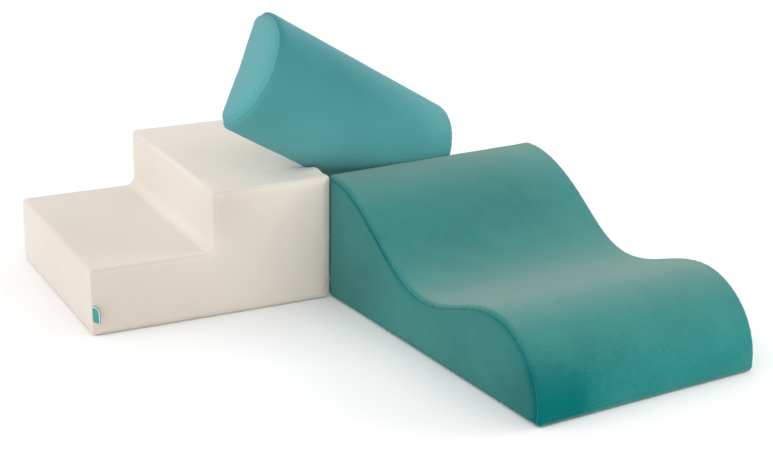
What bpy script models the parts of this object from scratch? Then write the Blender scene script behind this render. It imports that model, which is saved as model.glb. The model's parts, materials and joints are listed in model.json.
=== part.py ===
"""Soft play foam climber: a two-step stair block, a wave slide block and a half-round block.

Each block is a foam core in a sewn cover that opens with a zip. Metres, +Z up. The blocks are laid
out from the stair block's front right bottom corner, and the set is then centred on its footprint.
The half-round lies across the stair block's upper edge and leans on the slide's back edge.
"""

import math
from collections import namedtuple

import bmesh
import bpy
import numpy as np
from mathutils import Euler, Matrix, Vector

# Covers
COVER_THICKNESS = 0.0025
FIT_GAP = 0.0003
SEAM_GAP = 0.0006
SEAT_GAP = 0.0004
HEM_RISE = 0.007

# Stair block
STAIR_LENGTH = 0.600
STAIR_WIDTH = 0.600
STAIR_HEIGHT = 0.315
LOW_STEP_HEIGHT = 0.165
UPPER_TREAD_DEPTH = 0.295
STAIR_CORNER_RADIUS = 0.011
STAIR_FOOT_RADIUS = 0.010
STAIR_EDGE_RADIUS = 0.009
RISER_FOOT_RADIUS = 0.026
TREAD_SWELL = 0.003
STAIR_SIDE_SWELL = 0.003
DENT_DEPTH = 0.008
DENT_REACH = 0.036
BULGE_HEIGHT = 0.010
BULGE_REACH = 0.030
BULGE_OFFSET = 0.080

# Wave slide block
SLIDE_LENGTH = 0.888
SLIDE_WIDTH = 0.600
SLIDE_HEIGHT = 0.316
SLIDE_PLATEAU = 0.030
TROUGH_REACH = 0.433
TROUGH_HEIGHT = 0.139
CREST_REACH = 0.708
CREST_HEIGHT = 0.201
SLIDE_CORNER_RADIUS = 0.014
SLIDE_FOOT_RADIUS = 0.012
SLIDE_EDGE_RADIUS = 0.010
NOSE_FOOT_RISE = 0.008
WAVE_SWELL = 0.004
SLIDE_SIDE_SWELL = 0.003
SLIDE_SIDE_GAP = 0.0115
SLIDE_TURN = math.radians(4.89)

# Half-round block
HALF_RADIUS = 0.1535
HALF_LENGTH = 0.588
TIP_RADIUS = 0.024
TIP_SEAM_DROP = 0.004
CAP_EDGE_RADIUS = 0.014
CAP_SWELL = 0.009
FLAT_SWELL = 0.002
HALF_REST_STATION = 0.2755
HALF_REST_REACH = 0.1345
HALF_HEADING = math.radians(5.14)
HALF_SLOPE = math.radians(30.7)
HALF_LEAN = math.radians(-13.8)

# Zips
ZIP_HEIGHT = 0.045
HALF_ZIP_DROP = 0.080
TAPE_WIDTH = 0.014
TAPE_THICKNESS = 0.0012
COIL_WIDTH = 0.0052
COIL_HEIGHT = 0.0020
ZIP_MARGIN = 0.030
SLIDER_LENGTH = 0.011
SLIDER_WALL = 0.0012
SLIDER_EDGE_RADIUS = 0.0003
LUG_HEIGHT = 0.0018
LUG_MARGIN = 0.0026
STOP_LENGTH = 0.003
STOP_WIDTH = 0.0066

# Label in the stair block's front left seam
LABEL_HEIGHT = 0.040
LABEL_REACH = 0.021
LABEL_THICKNESS = 0.0014
LABEL_LOW = 0.037
LABEL_CORNER_RADIUS = 0.017
LABEL_ANGLE = math.radians(-65)

# Where a side panel ends on the soft edge: nothing is its flat face, one is the wrapped face
STAIR_SEAM_SHARE = 0.45
SLIDE_SEAM_SHARE = 0.20
CAP_SEAM_SHARE = 0.36

# Rows across a block's width, and the stair's rows about its dent as shares of the dent's reach
MIDDLE_SHARES = (0.25, 0.50, 0.75)
DENT_ROW_SHARES = (-2.8, -2.0, -1.1, 0.0, 1.1, 2.0)

# Rings of a side panel, as shares of its outline, and the heart that they shrink about
FACE_SHARES = (0.55,)
CAP_SHARES = (0.45, 0.80)
STAIR_HEART_SHARES = (0.50, 0.50)
SLIDE_HEART_SHARES = (0.94, 0.22)
HALF_HEART_SHARE = 0.42

CREAM = (0.745, 0.672, 0.578)
SEA_GREEN = (0.085, 0.250, 0.212)
TEAL = (0.078, 0.318, 0.330)
FOAM_YELLOW = (0.800, 0.720, 0.430)
STEEL = (0.560, 0.570, 0.580)
LABEL_TEAL = (0.020, 0.330, 0.330)

ARC_STEPS = 3
ROUND_FACE_STEPS = 16
SLOPE_STEPS = 11
CREST_STEPS = 6
NOSE_STEPS = 8
SMALL_ARC_STEPS = 6
SAMPLE_STEPS = 6
SEARCH_STEPS = 40
SMOOTH_ANGLE = math.radians(40)

Row = namedtuple("Row", "along inset shrink tilt end")


def clear_scene():
    for obj in list(bpy.data.objects):
        bpy.data.objects.remove(obj, do_unlink=True)


def material(name, colour, roughness, metallic=0.0):
    made = bpy.data.materials.new(name)
    made.use_nodes = True
    shader = made.node_tree.nodes["Principled BSDF"]
    shader.inputs["Base Color"].default_value = (*colour, 1.0)
    shader.inputs["Roughness"].default_value = roughness
    shader.inputs["Metallic"].default_value = metallic
    made.diffuse_color = (*colour, 1.0)
    return made


def empty(name, parent=None):
    made = bpy.data.objects.new(name, None)
    bpy.context.scene.collection.objects.link(made)
    made.parent = parent
    return made


def solid(name, points, faces, skin, parent, smooth=True):
    """One closed body as an object, with its faces turned outwards."""
    mesh = bpy.data.meshes.new(name)
    mesh.from_pydata([tuple(p) for p in points], [], faces)
    built = bmesh.new()
    built.from_mesh(mesh)
    bmesh.ops.recalc_face_normals(built, faces=built.faces)
    built.to_mesh(mesh)
    built.free()
    if smooth:
        mesh.shade_smooth()
        mesh.set_sharp_from_angle(angle=SMOOTH_ANGLE)
    mesh.materials.append(skin)
    obj = bpy.data.objects.new(name, mesh)
    bpy.context.scene.collection.objects.link(obj)
    obj.parent = parent
    return obj


class Outline:
    """A closed outline drawn counterclockwise, cut into named panels by its seams."""

    def __init__(self, panel, start):
        self.points = [start]
        self.swell = [0.0]
        self.panels = {panel: [0, 0]}
        self.current = panel

    def add(self, point, swell=0.0):
        self.points.append(point)
        self.swell.append(swell)
        self.panels[self.current][1] = len(self.points) - 1

    def run(self, end, parts=1, swell=0.0):
        """Straight run. Its swell rises from nothing at the ends to the whole in the middle."""
        start = np.array(self.points[-1])
        for share in np.linspace(0, 1, parts + 1)[1:]:
            self.add(tuple(start + (np.array(end) - start) * share), swell * 4 * share * (1 - share))

    def bend(self, centre, radius, first, last, steps=ARC_STEPS):
        """Arc about a centre, from the first angle to the last, in degrees."""
        for angle in np.radians(np.linspace(first, last, steps + 1)[1:]):
            self.add((centre[0] + radius * math.cos(angle), centre[1] + radius * math.sin(angle)))

    def seam(self, panel, start):
        """Ends one panel and starts the next a seam gap further on."""
        self.current = panel
        self.panels[panel] = [len(self.points), len(self.points)]
        self.add(start)

    def arrays(self):
        """Points, outward normals stretched at the corners so that walls stay parallel, and swells."""
        points = np.array(self.points)
        before = points - np.roll(points, 1, axis=0)
        after = np.roll(points, -1, axis=0) - points
        normals = []
        for step in (before, after):
            step = step / np.linalg.norm(step, axis=1)[:, None]
            normals.append(np.stack([step[:, 1], -step[:, 0]], axis=1))
        middle = normals[0] + normals[1]
        middle /= np.linalg.norm(middle, axis=1)[:, None]
        return points, middle / (middle * normals[0]).sum(axis=1)[:, None], np.array(self.swell)


def foot(outline, length, radius, zip_low, zip_high):
    """The underside, from the hem on the far end round to the zip on the near end."""
    outline.seam("base", (-length, radius + HEM_RISE))
    outline.run((-length, radius))
    outline.bend((-length + radius, radius), radius, 180, 270)
    outline.run((-radius, 0.0), parts=2)
    outline.bend((-radius, radius), radius, 270, 360)
    outline.run((0.0, zip_low - SEAM_GAP))
    outline.seam("tape", (0.0, zip_low))
    outline.run((0.0, zip_high - SEAM_GAP))


def stair_outline():
    zip_low, zip_high = ZIP_HEIGHT - TAPE_WIDTH / 2, ZIP_HEIGHT + TAPE_WIDTH / 2
    bend, top, step = STAIR_CORNER_RADIUS, STAIR_HEIGHT, LOW_STEP_HEIGHT
    outline = Outline("wrap", (0.0, zip_high))
    outline.run((0.0, top - bend), parts=2)
    outline.bend((-bend, top - bend), bend, 0, 90)
    outline.run((-UPPER_TREAD_DEPTH + bend, top), parts=4, swell=TREAD_SWELL)
    outline.bend((-UPPER_TREAD_DEPTH + bend, top - bend), bend, 90, 180)
    outline.run((-UPPER_TREAD_DEPTH, step + RISER_FOOT_RADIUS), parts=2)
    outline.bend(
        (-UPPER_TREAD_DEPTH - RISER_FOOT_RADIUS, step + RISER_FOOT_RADIUS), RISER_FOOT_RADIUS, 0, -90
    )
    outline.run((-STAIR_LENGTH + bend, step), parts=4, swell=TREAD_SWELL)
    outline.bend((-STAIR_LENGTH + bend, step - bend), bend, 90, 180)
    hem = STAIR_FOOT_RADIUS + HEM_RISE + SEAM_GAP
    outline.run((-STAIR_LENGTH, hem), parts=2, swell=TREAD_SWELL)
    foot(outline, STAIR_LENGTH, STAIR_FOOT_RADIUS, zip_low, zip_high)
    return outline


def slide_outline():
    """The wave is two half cosines, down to the trough and up to the crest, and an elliptic nose."""
    zip_low, zip_high = ZIP_HEIGHT - TAPE_WIDTH / 2, ZIP_HEIGHT + TAPE_WIDTH / 2
    bend, top = SLIDE_CORNER_RADIUS, SLIDE_HEIGHT
    hem = SLIDE_FOOT_RADIUS + HEM_RISE + SEAM_GAP
    nose_foot = hem + NOSE_FOOT_RISE
    outline = Outline("wrap", (0.0, zip_high))
    outline.run((0.0, top - bend), parts=2)
    outline.bend((-bend, top - bend), bend, 0, 90)
    stretches = (
        (SLIDE_PLATEAU, top, TROUGH_REACH, TROUGH_HEIGHT, SLOPE_STEPS),
        (TROUGH_REACH, TROUGH_HEIGHT, CREST_REACH, CREST_HEIGHT, CREST_STEPS),
    )
    outline.add((-SLIDE_PLATEAU, top))
    for reach, height, next_reach, next_height, steps in stretches:
        for share in np.linspace(0, 1, steps + 1)[1:]:
            fall = (1 - math.cos(math.pi * share)) / 2
            at = reach + (next_reach - reach) * share
            outline.add((-at, height + (next_height - height) * fall), WAVE_SWELL * at / SLIDE_LENGTH)
    for angle in np.linspace(0, math.pi / 2, NOSE_STEPS + 1)[1:]:
        reach = CREST_REACH + (SLIDE_LENGTH - CREST_REACH) * math.sin(angle)
        height = nose_foot + (CREST_HEIGHT - nose_foot) * math.cos(angle)
        outline.add((-reach, height), WAVE_SWELL * math.cos(angle))
    outline.run((-SLIDE_LENGTH, hem))
    foot(outline, SLIDE_LENGTH, SLIDE_FOOT_RADIUS, zip_low, zip_high)
    return outline


def tip_height():
    """How far from the middle of the flat face the round tips' centres lie."""
    return math.sqrt((HALF_RADIUS - TIP_RADIUS) ** 2 - TIP_RADIUS**2)


def half_outline():
    tip = tip_height()
    zip_low, zip_high = -HALF_ZIP_DROP - TAPE_WIDTH / 2, -HALF_ZIP_DROP + TAPE_WIDTH / 2
    meet = math.degrees(math.atan2(tip, -TIP_RADIUS))
    outline = Outline("flat", (0.0, zip_high))
    outline.run((0.0, tip - TIP_SEAM_DROP - SEAM_GAP), parts=4, swell=FLAT_SWELL)
    outline.seam("curved", (0.0, tip - TIP_SEAM_DROP))
    outline.run((0.0, tip))
    outline.bend((-TIP_RADIUS, tip), TIP_RADIUS, 0, meet)
    outline.bend((0.0, 0.0), HALF_RADIUS, meet, 360 - meet, steps=ROUND_FACE_STEPS)
    outline.bend((-TIP_RADIUS, -tip), TIP_RADIUS, 360 - meet, 360)
    outline.run((0.0, zip_low - SEAM_GAP))
    outline.seam("tape", (0.0, zip_low))
    outline.run((0.0, zip_high - SEAM_GAP))
    return outline


def end_rows(edge, seam_share, shares):
    """Rows from the middle of a block's first face out over its soft edge, with the seam's two rows."""
    quarter = math.pi / 2
    half_gap = SEAM_GAP / (2 * edge)
    seam = quarter * seam_share
    free = max(seam, quarter - seam) / 2
    between = seam - free if seam > quarter / 2 else seam + free
    angles = sorted([0.0, between, seam - half_gap, seam + half_gap, quarter])
    rows = [Row(0.0, edge, share, 0.0, -1) for share in shares]
    for angle in angles:
        rows.append(Row(edge * (1 - math.cos(angle)), edge * (1 - math.sin(angle)), 1.0, angle, -1))
    return rows, len(shares) + angles.index(seam - half_gap)


class Block:
    """A covered foam block: rings of its outline set one after another along its width.

    ends holds the rows of its first end and the number of the last row of the side panel there.
    """

    def __init__(self, outline, width, ends, side_swell, stations, heart, place, dent=None):
        first, self.cap_end = ends
        last = [Row(width - r.along, r.inset, r.shrink, r.tilt, 1) for r in reversed(first)]
        middle = [Row(station, 0.0, 1.0, math.pi / 2, 1) for station in stations]
        self.rows = first + middle + last
        self.outline = outline
        self.width = width
        self.side_swell = side_swell
        self.heart = np.array(heart)
        self.place = place
        self.dent = dent

    def layer(self, depth):
        """The block's surface at a depth below its cover: rows of points, and the two end points."""
        points, normals, swell = self.outline.arrays()
        rings = []
        for row in self.rows:
            ring = points - normals * (row.inset + depth * math.sin(row.tilt))
            ring = self.heart + (ring - self.heart) * row.shrink
            across = 2 * row.along / self.width - 1
            ring = ring + normals * (swell * (1 - across**2) * math.sin(row.tilt))[:, None]
            puff = self.side_swell * (1 - row.shrink**2)
            along = row.along + row.end * (puff - depth * math.cos(row.tilt))
            rings.append(self.place(ring[:, 0], np.full(len(ring), along), ring[:, 1]))
        rings = np.array(rings)
        ends = [-self.side_swell + depth, self.width + self.side_swell - depth]
        poles = [self.place(self.heart[0], along, self.heart[1]) for along in ends]
        if self.dent is not None:
            rings = rings - self.dent(rings if depth == 0 else self.layer(0)[0])
        return rings, np.array(poles)

    def cut(self, panel):
        """The rows and the outline points of a named panel."""
        first, last = self.outline.panels[panel]
        return slice(self.cap_end + 1, len(self.rows) - self.cap_end - 1), slice(first, last + 1)


def strip(one, two, closed):
    """Triangles between two rows of vertex numbers. The diagonal always runs the same way, so that
    layers over each other facet alike."""
    faces = []
    for i in range(len(one) if closed else len(one) - 1):
        j = (i + 1) % len(one)
        faces += [(one[i], one[j], two[j]), (one[i], two[j], two[i])]
    return faces


def fan(pole, ring):
    return [(pole, ring[i], ring[(i + 1) % len(ring)]) for i in range(len(ring))]


def sheet(name, block, panel, outer, inner, skin, parent):
    """An open panel between two depths below the cover's surface."""
    part = block.cut(panel)
    layers = [block.layer(depth)[0][part] for depth in (outer, inner)]
    rows, columns = layers[0].shape[:2]
    numbers = np.arange(2 * rows * columns).reshape(2, rows, columns)
    faces = []
    for layer in numbers:
        for one, two in zip(layer, layer[1:]):
            faces += strip(one, two, False)
    for side in (0, -1):
        faces += strip(numbers[0, side], numbers[1, side], False)
        faces += strip(numbers[0, :, side], numbers[1, :, side], False)
    return solid(name, np.concatenate(layers).reshape(-1, 3), faces, skin, parent)


def side_panel(name, block, last, skin, parent):
    """The end panel of a cover, from the middle of the face out to its seam."""
    points, faces, edges = [], [], []
    for depth in (0.0, COVER_THICKNESS):
        rings, poles = block.layer(depth)
        rings = rings[: block.cap_end + 1]
        if last:
            rings = block.layer(depth)[0][: -block.cap_end - 2 : -1]
        start = len(points)
        points += [poles[-1] if last else poles[0], *rings.reshape(-1, 3)]
        numbers = start + 1 + np.arange(rings.shape[0] * rings.shape[1]).reshape(rings.shape[:2])
        faces += fan(start, numbers[0])
        for one, two in zip(numbers, numbers[1:]):
            faces += strip(one, two, True)
        edges.append(numbers[-1])
    faces += strip(edges[0], edges[1], True)
    return solid(name, points, faces, skin, parent)


def core(name, block, skin, parent):
    """The foam, a fit gap inside the cover all round."""
    rings, poles = block.layer(COVER_THICKNESS + FIT_GAP)
    count = rings.shape[0] * rings.shape[1]
    numbers = np.arange(count).reshape(rings.shape[:2])
    faces = fan(count, numbers[0]) + fan(count + 1, numbers[-1])
    for one, two in zip(numbers, numbers[1:]):
        faces += strip(one, two, True)
    return solid(name, [*rings.reshape(-1, 3), *poles], faces, skin, parent)


def bar(name, profile, start, end, place, skin, parent):
    """A straight bar of one section, given as outward and upward points, between two stations."""
    out, up = np.array(profile).T
    rings = [place(out, np.full(len(out), along), up) for along in (start, end)]
    numbers = np.arange(2 * len(out)).reshape(2, -1)
    faces = strip(numbers[0], numbers[1], True) + [tuple(numbers[0]), tuple(numbers[1])]
    return solid(name, np.concatenate(rings), faces, skin, parent, smooth=False)


def zip_on(prefix, ends, block, middle, parked, skins, parent):
    """Tape, coil, two end stops and slider of a zip along a block's flat near face."""
    tape_skin, coil_skin, metal = skins
    place, width = block.place, block.width
    seat = TAPE_THICKNESS - COVER_THICKNESS + FIT_GAP
    sunk = COVER_THICKNESS - TAPE_THICKNESS
    sheet(prefix + "_tape", block, "tape", sunk, COVER_THICKNESS, tape_skin, parent)
    first, last = ZIP_MARGIN, width - ZIP_MARGIN
    near, far = first + STOP_LENGTH + FIT_GAP, last - STOP_LENGTH - FIT_GAP
    arch = [
        (seat + COIL_HEIGHT * math.sin(angle), middle + COIL_WIDTH / 2 * math.cos(angle))
        for angle in np.linspace(0, math.pi, SMALL_ARC_STEPS + 1)
    ]
    bar(prefix + "_coil", arch, near, far, place, coil_skin, parent)
    low, high = middle - STOP_WIDTH / 2, middle + STOP_WIDTH / 2
    roof = seat + COIL_HEIGHT
    stop = [(seat, high), (roof, high), (roof, low), (seat, low)]
    bar(f"{prefix}_stop_{ends[0]}", stop, first, first + STOP_LENGTH, place, metal, parent)
    bar(f"{prefix}_stop_{ends[1]}", stop, last - STOP_LENGTH, last, place, metal, parent)
    half = SLIDER_LENGTH / 2
    station = far - half if parked == ends[1] else near + half
    slider(prefix + "_slider", station, middle, seat, place, metal, parent)


def slider(name, along, middle, seat, place, skin, parent):
    """A zip slider with no pull: a channel over the coil, and a short lug on its back."""
    inner = COIL_WIDTH / 2 + FIT_GAP
    outer = inner + SLIDER_WALL
    roof = seat + COIL_HEIGHT + FIT_GAP
    top = roof + SLIDER_WALL
    channel = [
        (seat, -outer), (top, -outer), (top, outer), (seat, outer),
        (seat, inner), (roof, inner), (roof, -inner), (seat, -inner),
    ]  # fmt: skip
    half = SLIDER_LENGTH / 2
    made = bar(name, channel, -half, half, place, skin, parent)
    built = bmesh.new()
    built.from_mesh(made.data)
    outward = Vector(place(1.0, 0.0, 0.0))
    back = [f for f in built.faces if all(abs(v.co.dot(outward) - top) < FIT_GAP / 10 for v in f.verts)]
    back = bmesh.ops.dissolve_faces(built, faces=back)["region"]
    bmesh.ops.inset_region(built, faces=back, thickness=LUG_MARGIN)
    grown = bmesh.ops.extrude_face_region(built, geom=back)["geom"]
    lifted = [v for v in grown if isinstance(v, bmesh.types.BMVert)]
    bmesh.ops.translate(built, vec=outward * LUG_HEIGHT, verts=lifted)
    bmesh.ops.delete(built, geom=[f for f in back if f.is_valid], context="FACES_ONLY")
    bmesh.ops.recalc_face_normals(built, faces=built.faces)
    built.to_mesh(made.data)
    built.free()
    rounding = made.modifiers.new("soft edges", "BEVEL")
    rounding.width = SLIDER_EDGE_RADIUS
    rounding.segments = 1
    made.location = place(0.0, along, middle)
    return made


def along_y(out, along, up):
    return np.stack(np.broadcast_arrays(out, along, up), axis=-1)


def along_x(out, along, up):
    return np.stack(np.broadcast_arrays(along, out, up), axis=-1)


def stair_dent(points):
    """How far the stair block's upper right edge is pressed down under the half-round.

    The foam is pushed up again in front of it. Both are bell curves of the distance along the edge
    and from it.
    """
    x, y, z = np.moveaxis(points, -1, 0)
    aside = x**2 + (STAIR_HEIGHT - z) ** 2
    dent = ((y - HALF_REST_REACH) ** 2 + aside) / DENT_REACH**2
    bulge = ((y - HALF_REST_REACH + BULGE_OFFSET) ** 2 + aside) / BULGE_REACH**2
    down = np.zeros_like(points)
    down[..., 2] = DENT_DEPTH * np.exp(-dent) - BULGE_HEIGHT * np.exp(-bulge)
    return down


def label(skin, parent):
    """A folded loop label with one round corner, standing out of the front left seam."""
    built = bmesh.new()
    corner = LABEL_CORNER_RADIUS
    edge = [(0.0, 0.0), (LABEL_REACH, 0.0)]
    for angle in np.linspace(0, math.pi / 2, SMALL_ARC_STEPS + 1):
        reach = LABEL_REACH - corner + corner * math.cos(angle)
        edge.append((reach, LABEL_HEIGHT - corner + corner * math.sin(angle)))
    edge.append((0.0, LABEL_HEIGHT))
    face = built.faces.new([built.verts.new((x, -LABEL_THICKNESS / 2, z)) for x, z in edge])
    grown = bmesh.ops.extrude_face_region(built, geom=[face])["geom"]
    lifted = [v for v in grown if isinstance(v, bmesh.types.BMVert)]
    bmesh.ops.translate(built, vec=(0.0, LABEL_THICKNESS, 0.0), verts=lifted)
    mesh = bpy.data.meshes.new("stair_label")
    bmesh.ops.recalc_face_normals(built, faces=built.faces)
    built.to_mesh(mesh)
    built.free()
    mesh.materials.append(skin)
    obj = bpy.data.objects.new("stair_label", mesh)
    bpy.context.scene.collection.objects.link(obj)
    obj.parent = parent
    tilt = math.pi / 2 * STAIR_SEAM_SHARE
    standoff = FIT_GAP + LABEL_THICKNESS / 2
    inset = STAIR_EDGE_RADIUS - (STAIR_EDGE_RADIUS + standoff) * math.sin(tilt)
    along = STAIR_EDGE_RADIUS - (STAIR_EDGE_RADIUS + standoff) * math.cos(tilt)
    obj.location = (-STAIR_LENGTH + inset, along, LABEL_LOW)
    obj.rotation_euler = (0.0, 0.0, LABEL_ANGLE)
    return obj


def half_distance(points):
    """Signed distance from points, in the half-round's own frame, to its faceted surface.

    Across the block it is the distance to the furthest of the planes through the outline's sides,
    which meets the distance to the two end faces in a round edge.
    """
    x, section = points[:, 0], points[:, 1:]
    corners = half_outline().arrays()[0]
    side = np.roll(corners, -1, axis=0) - corners
    outward = np.stack([side[:, 1], -side[:, 0]], axis=1) / np.linalg.norm(side, axis=1)[:, None]
    across = (section @ outward.T - (corners * outward).sum(axis=1)).max(axis=1) + CAP_EDGE_RADIUS
    ends = np.maximum(-x, x - HALF_LENGTH) + CAP_EDGE_RADIUS
    outside = np.hypot(np.maximum(across, 0), np.maximum(ends, 0))
    return np.minimum(np.maximum(across, ends), 0) + outside - CAP_EDGE_RADIUS


def surface_samples(block):
    """Points spread over the flat triangles of a block's cover, not only at their corners."""
    rings = block.layer(0)[0]
    rings = np.concatenate([rings, rings[:, :1]], axis=1)
    a, b, c, d = rings[:-1, :-1], rings[:-1, 1:], rings[1:, 1:], rings[1:, :-1]
    found = []
    for i in range(SAMPLE_STEPS + 1):
        for j in range(SAMPLE_STEPS + 1 - i):
            u, v = i / SAMPLE_STEPS, j / SAMPLE_STEPS
            found.append(a + (b - a) * (u + v) + (c - b) * v)
            found.append(a + (c - a) * (u + v) + (d - c) * v)
    return np.concatenate([f.reshape(-1, 3) for f in found])


def seat_half_round(stair):
    """The half-round's place: its lower edge over the stair's upper edge, let down until it rests."""
    turn = np.array(Euler((HALF_LEAN, HALF_SLOPE, HALF_HEADING)).to_matrix())
    start = np.array((0.0, HALF_REST_REACH, STAIR_HEIGHT))
    start = start - turn @ np.array((HALF_REST_STATION, 0.0, -HALF_RADIUS))
    samples = surface_samples(stair)
    low, high = -HALF_RADIUS, HALF_RADIUS
    for _ in range(SEARCH_STEPS):
        lift = (low + high) / 2
        local = (samples - start - (0.0, 0.0, lift)) @ turn
        if half_distance(local).min() < SEAT_GAP:
            low = lift
        else:
            high = lift
    return start + (0.0, 0.0, high), turn


def seat_slide(slide, half_place, half_turn):
    """The slide's place: beside the stair, pushed back until its back edge meets the half-round."""
    turn = np.array(Matrix.Rotation(SLIDE_TURN, 3, "Z"))
    samples = surface_samples(slide) @ turn.T
    forward, back = -HALF_RADIUS, HALF_RADIUS
    for _ in range(SEARCH_STEPS):
        shift = (forward + back) / 2
        local = (samples + (SLIDE_SIDE_GAP, shift, 0.0) - half_place) @ half_turn
        if half_distance(local).min() < SEAT_GAP:
            back = shift
        else:
            forward = shift
    return SLIDE_SIDE_GAP, forward, 0.0


def stair_block():
    heart = (-UPPER_TREAD_DEPTH * STAIR_HEART_SHARES[0], LOW_STEP_HEIGHT * STAIR_HEART_SHARES[1])
    ends = end_rows(STAIR_EDGE_RADIUS, STAIR_SEAM_SHARE, FACE_SHARES)
    stations = [HALF_REST_REACH + DENT_REACH * share for share in DENT_ROW_SHARES]
    stations += [STAIR_WIDTH * share for share in MIDDLE_SHARES[1:]]
    return Block(
        stair_outline(), STAIR_WIDTH, ends, STAIR_SIDE_SWELL, stations, heart, along_y, stair_dent
    )


def slide_block():
    heart = (-TROUGH_REACH * SLIDE_HEART_SHARES[0], TROUGH_HEIGHT * SLIDE_HEART_SHARES[1])
    ends = end_rows(SLIDE_EDGE_RADIUS, SLIDE_SEAM_SHARE, FACE_SHARES)
    stations = [SLIDE_WIDTH * share for share in MIDDLE_SHARES]
    return Block(slide_outline(), SLIDE_WIDTH, ends, SLIDE_SIDE_SWELL, stations, heart, along_x)


def half_round_block():
    heart = (-HALF_RADIUS * HALF_HEART_SHARE, 0.0)
    ends = end_rows(CAP_EDGE_RADIUS, CAP_SEAM_SHARE, CAP_SHARES)
    stations = [HALF_LENGTH * share for share in MIDDLE_SHARES]
    return Block(half_outline(), HALF_LENGTH, ends, CAP_SWELL, stations, heart, along_x)


def centre_on_footprint(root):
    """Puts the middle of the set's box, at floor level, at the origin."""
    bpy.context.view_layer.update()
    graph = bpy.context.evaluated_depsgraph_get()
    corners = []
    for obj in bpy.context.scene.objects:
        if obj.type == "MESH":
            shown = obj.evaluated_get(graph)
            corners += [obj.matrix_world @ v.co for v in shown.data.vertices]
    corners = np.array(corners)
    low, high = corners.min(axis=0), corners.max(axis=0)
    root.location = (-(low[0] + high[0]) / 2, -(low[1] + high[1]) / 2, -low[2])


def build():
    clear_scene()
    foam = material("foam", FOAM_YELLOW, 0.95)
    cream = material("cream_velvet", CREAM, 0.90)
    green = material("sea_green_velvet", SEA_GREEN, 0.85)
    teal = material("teal_velvet", TEAL, 0.85)
    metal = material("zip_metal", STEEL, 0.35, 1.0)
    label_skin = material("label_ribbon", LABEL_TEAL, 0.60)

    climber = empty("climber")
    blocks = {name: empty(name, climber) for name in ("stair_block", "wave_slide", "half_round")}
    stair = stair_block()
    slide = slide_block()
    half = half_round_block()

    half_place, half_turn = seat_half_round(stair)
    blocks["half_round"].location = half_place
    blocks["half_round"].rotation_euler = (HALF_LEAN, HALF_SLOPE, HALF_HEADING)
    blocks["wave_slide"].location = seat_slide(slide, half_place, half_turn)
    blocks["wave_slide"].rotation_euler = (0.0, 0.0, SLIDE_TURN)

    parent = blocks["stair_block"]
    core("stair_core", stair, foam, parent)
    sheet("stair_wrap_panel", stair, "wrap", 0.0, COVER_THICKNESS, cream, parent)
    side_panel("stair_front_panel", stair, False, cream, parent)
    side_panel("stair_back_panel", stair, True, cream, parent)
    sheet("stair_base_panel", stair, "base", 0.0, COVER_THICKNESS, cream, parent)
    zip_on("stair_zip", ("front", "back"), stair, ZIP_HEIGHT, "back", (cream, cream, metal), parent)
    label(label_skin, parent)

    parent = blocks["wave_slide"]
    core("slide_core", slide, foam, parent)
    sheet("slide_wrap_panel", slide, "wrap", 0.0, COVER_THICKNESS, green, parent)
    side_panel("slide_left_panel", slide, False, green, parent)
    side_panel("slide_right_panel", slide, True, green, parent)
    sheet("slide_base_panel", slide, "base", 0.0, COVER_THICKNESS, green, parent)
    zip_on("slide_zip", ("left", "right"), slide, ZIP_HEIGHT, "right", (green, green, metal), parent)

    parent = blocks["half_round"]
    core("half_round_core", half, foam, parent)
    sheet("half_round_curved_panel", half, "curved", 0.0, COVER_THICKNESS, teal, parent)
    sheet("half_round_flat_panel", half, "flat", 0.0, COVER_THICKNESS, teal, parent)
    side_panel("half_round_upper_cap", half, False, teal, parent)
    side_panel("half_round_lower_cap", half, True, teal, parent)
    skins = (teal, teal, metal)
    zip_on("half_round_zip", ("upper", "lower"), half, -HALF_ZIP_DROP, "lower", skins, parent)

    centre_on_footprint(climber)


build()
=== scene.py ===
"""Looks of the soft play foam climber: velvet covers over three foam blocks, their zips and the label.

Every cover panel is one surface over two parameters: the path q across the block, from the middle of
one soft edge over the wrapped face to the other, and the path s round the block's outline. Seams are
borders where two panels turn in next to each other. Metres, +Z up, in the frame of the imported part.
"""

import json
import math
from collections import namedtuple

import bpy
import numpy as np
from bpy.props import FloatProperty, FloatVectorProperty, PointerProperty
from mathutils import Matrix, Vector


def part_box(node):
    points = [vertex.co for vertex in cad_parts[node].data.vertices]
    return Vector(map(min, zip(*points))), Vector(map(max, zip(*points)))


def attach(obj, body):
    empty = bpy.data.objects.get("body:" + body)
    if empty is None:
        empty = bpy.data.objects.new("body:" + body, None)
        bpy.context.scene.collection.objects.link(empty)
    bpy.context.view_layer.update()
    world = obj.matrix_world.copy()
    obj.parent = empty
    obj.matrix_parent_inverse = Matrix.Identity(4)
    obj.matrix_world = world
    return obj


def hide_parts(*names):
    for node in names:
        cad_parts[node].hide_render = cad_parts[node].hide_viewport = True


bl_info = {
    "name": "Soft Play Climber",
    "version": (1, 0, 0),
    "blender": (4, 5, 0),
    "location": "3D View > Sidebar > Climber",
    "description": "Builds the velvet covers, foam, zips and label of a soft play foam climber",
    "category": "Object",
}

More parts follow.
